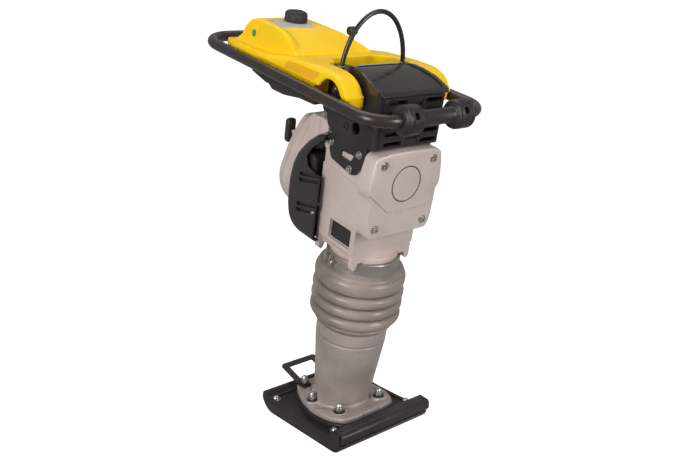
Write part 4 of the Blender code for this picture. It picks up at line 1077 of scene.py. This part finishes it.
def labels(tank):
    """Blank labels that lie on the tank's own surface."""
    def patch(name, outline, low, high, facing, finish):
        cutter = prism(name, outline, low, high, facing)
        copy = link(tank.copy())
        copy.data = tank.data.copy()
        push = copy.modifiers.new("Displace", "DISPLACE")
        push.strength = LABEL_THICKNESS * MM
        push.mid_level = 0
        apply_modifiers(copy)
        extra(common(cutter, copy), "housing", "tank_yellow", finish, 60)

    patch("arm_label", soften([(54, 890), (70, 869), (182, 866), (168, 886)], 2, 3), -160, -144, "x",
        "label_yellow")
    patch("filler_label", soften([(-112, 262), (-18, 252), (-9, 300), (-112, 330)], 4, 4), 928, 945,
        "z", "label_grey")
    patch("inspection_dot", arc(349, 899, 8.5, 0, 345, 23), -130, -116, "x", "green_dot")


def tray():
    line = soften([(70, 822.2), (70, 815), (126, 813), (183, 803), (232, 802), (246, 811), (257, 810),
        (322, 822.2)], 4, 3)
    inside = [(74, 830), (74, 818), (127, 816), (184, 806), (230, 805), (244, 814), (258, 813),
        (318, 830)]
    pan = prism("tank_tray_skin", line, -140, 140, "x")
    cut(pan, prism("tray_space", inside, -136, 136, "x"),
        box("tray_notch", (-98, 60, 780), (98, 112, 840)))
    piece(bevel(pan, 1.2, 2, 50), "tank_tray")


def lifting_cable():
    points = [(x * LOOP_HALF, LOOP_Y, LOOP_BASE + z * (LOOP_TOP - LOOP_BASE)) for x,
        z in arc(0, 0, 1, 0, 180, 48)]
    sheath = tube("lifting_cable_skin", points, 5.3, sides=20)
    piece(sheath, "lifting_cable", "cable_sheath")
    for index, side in enumerate((-1, 1), 1):
        line = [(5.2, 873), (6.4, 873), (7, 874), (7, 879), (6.2, 881), (6.8, 883), (6.8, 890),
            (6.2, 892), (7, 894), (7, 899), (6.2, 900), (5.2, 900)]
        ferrule = turned(f"cable_ferrule_{index}", line, (side * (LOOP_HALF - 0.3), LOOP_Y, 0),
            steps=32, ring=True)
        extra(ferrule, "housing", "zinc_steel")


# Stage

def dress_cad_nodes():
    """Every CAD node that still shows gets its procedural material."""
    for name, node in frame["nodes"].items():
        dress(node, SLOTS[name])


def camera():
    e, a = math.radians(CAMERA_PITCH), math.radians(CAMERA_AZIMUTH)
    roll = math.radians(CAMERA_ROLL)
    back = Vector((math.sin(a) * math.cos(e), -math.cos(a) * math.cos(e), math.sin(e)))
    right = Vector((math.cos(a), math.sin(a), 0))
    up = back.cross(right)
    turned_right = right * math.cos(roll) + up * math.sin(roll)
    turned_up = up * math.cos(roll) - right * math.sin(roll)
    matrix = Matrix((turned_right, turned_up, back)).transposed().to_4x4()
    matrix.translation = CAMERA_PLACE
    data = bpy.data.cameras.new("camera")
    data.lens = CAMERA_LENS
    data.sensor_width = 36
    obj = link(bpy.data.objects.new("camera", data))
    obj.matrix_world = matrix
    bpy.context.scene.camera = obj


def area_light(name, place, target, width, height, power, colour=(1, 1, 1)):
    data = bpy.data.lights.new(name, "AREA")
    data.shape = "RECTANGLE"
    data.size, data.size_y = width, height
    data.energy = power
    data.color = colour
    obj = link(bpy.data.objects.new(name, data))
    obj.location = place
    direction = Vector(target) - Vector(place)
    obj.rotation_euler = direction.to_track_quat("-Z", "Y").to_euler()


def studio():
    world = bpy.data.worlds.new("studio")
    world.use_nodes = True
    background = world.node_tree.nodes["Background"]
    background.inputs["Color"].default_value = (1, 1, 1, 1)
    background.inputs["Strength"].default_value = WORLD_STRENGTH
    bpy.context.scene.world = world
    bpy.context.scene.view_settings.view_transform = "Standard"
    floor = box("floor", (-30000, -30000, -20), (60000, 60000, -0.5), UPRIGHT)
    stages = [(floor, "floor", FLOOR_GLOW)]
    near, far = WALL_NEAR, WALL_NEAR + 100
    for side, x0, y0, x1, y1 in (("rear", -near, near, near, far), ("left", near, -near, far, near),
            ("right", -far, -near, -near, near), ("front", -near, -far, near, -near)):
        wall = box(f"backdrop_{side}", (x0, y0, WALL_LOW), (x1, y1, WALL_HIGH), UPRIGHT)
        stages.append((wall, "wall", WALL_GLOW))
    for stage, name, glow in stages:
        stage.visible_shadow = name == "floor"
        stage.visible_diffuse = False
        stage.visible_glossy = False
        if name not in MATERIALS:
            shader = surface(name, PALE, 0.8, other=PALE_PATCH, patch=2, grain=60, bump=0.01,
                level=0.1)
            shader.inputs["Emission Color"].default_value = (1, 1, 1, 1)
            shader.inputs["Emission Strength"].default_value = glow
        dress(stage, name)
    middle = (0, 0, 0.5)
    area_light("key", (-3.0, -0.9, 1.5), middle, 1.2, 2.0, 66, WARM)
    area_light("front", (0.9, -3.0, 1.3), middle, 0.8, 1.8, 48, WARM)
    area_light("top", (0.2, 0.4, 3.0), middle, 2.0, 2.0, 18)


def build():
    dress_cad_nodes()
    sole()
    shoe()
    nose_bar()
    leg()
    foot_nuts()
    bracket()
    spring("lower_spring_skin", "lower_spring", 84, 191)
    spring("upper_spring_skin", "upper_spring", 201, 308)
    bellows()
    clamp_bands()
    gear_case()
    cover()
    muffler_guard()
    fan_housing()
    console()
    handle()
    roller()
    fuel_tank()
    tray()
    lifting_cable()


camera()
studio()
build()
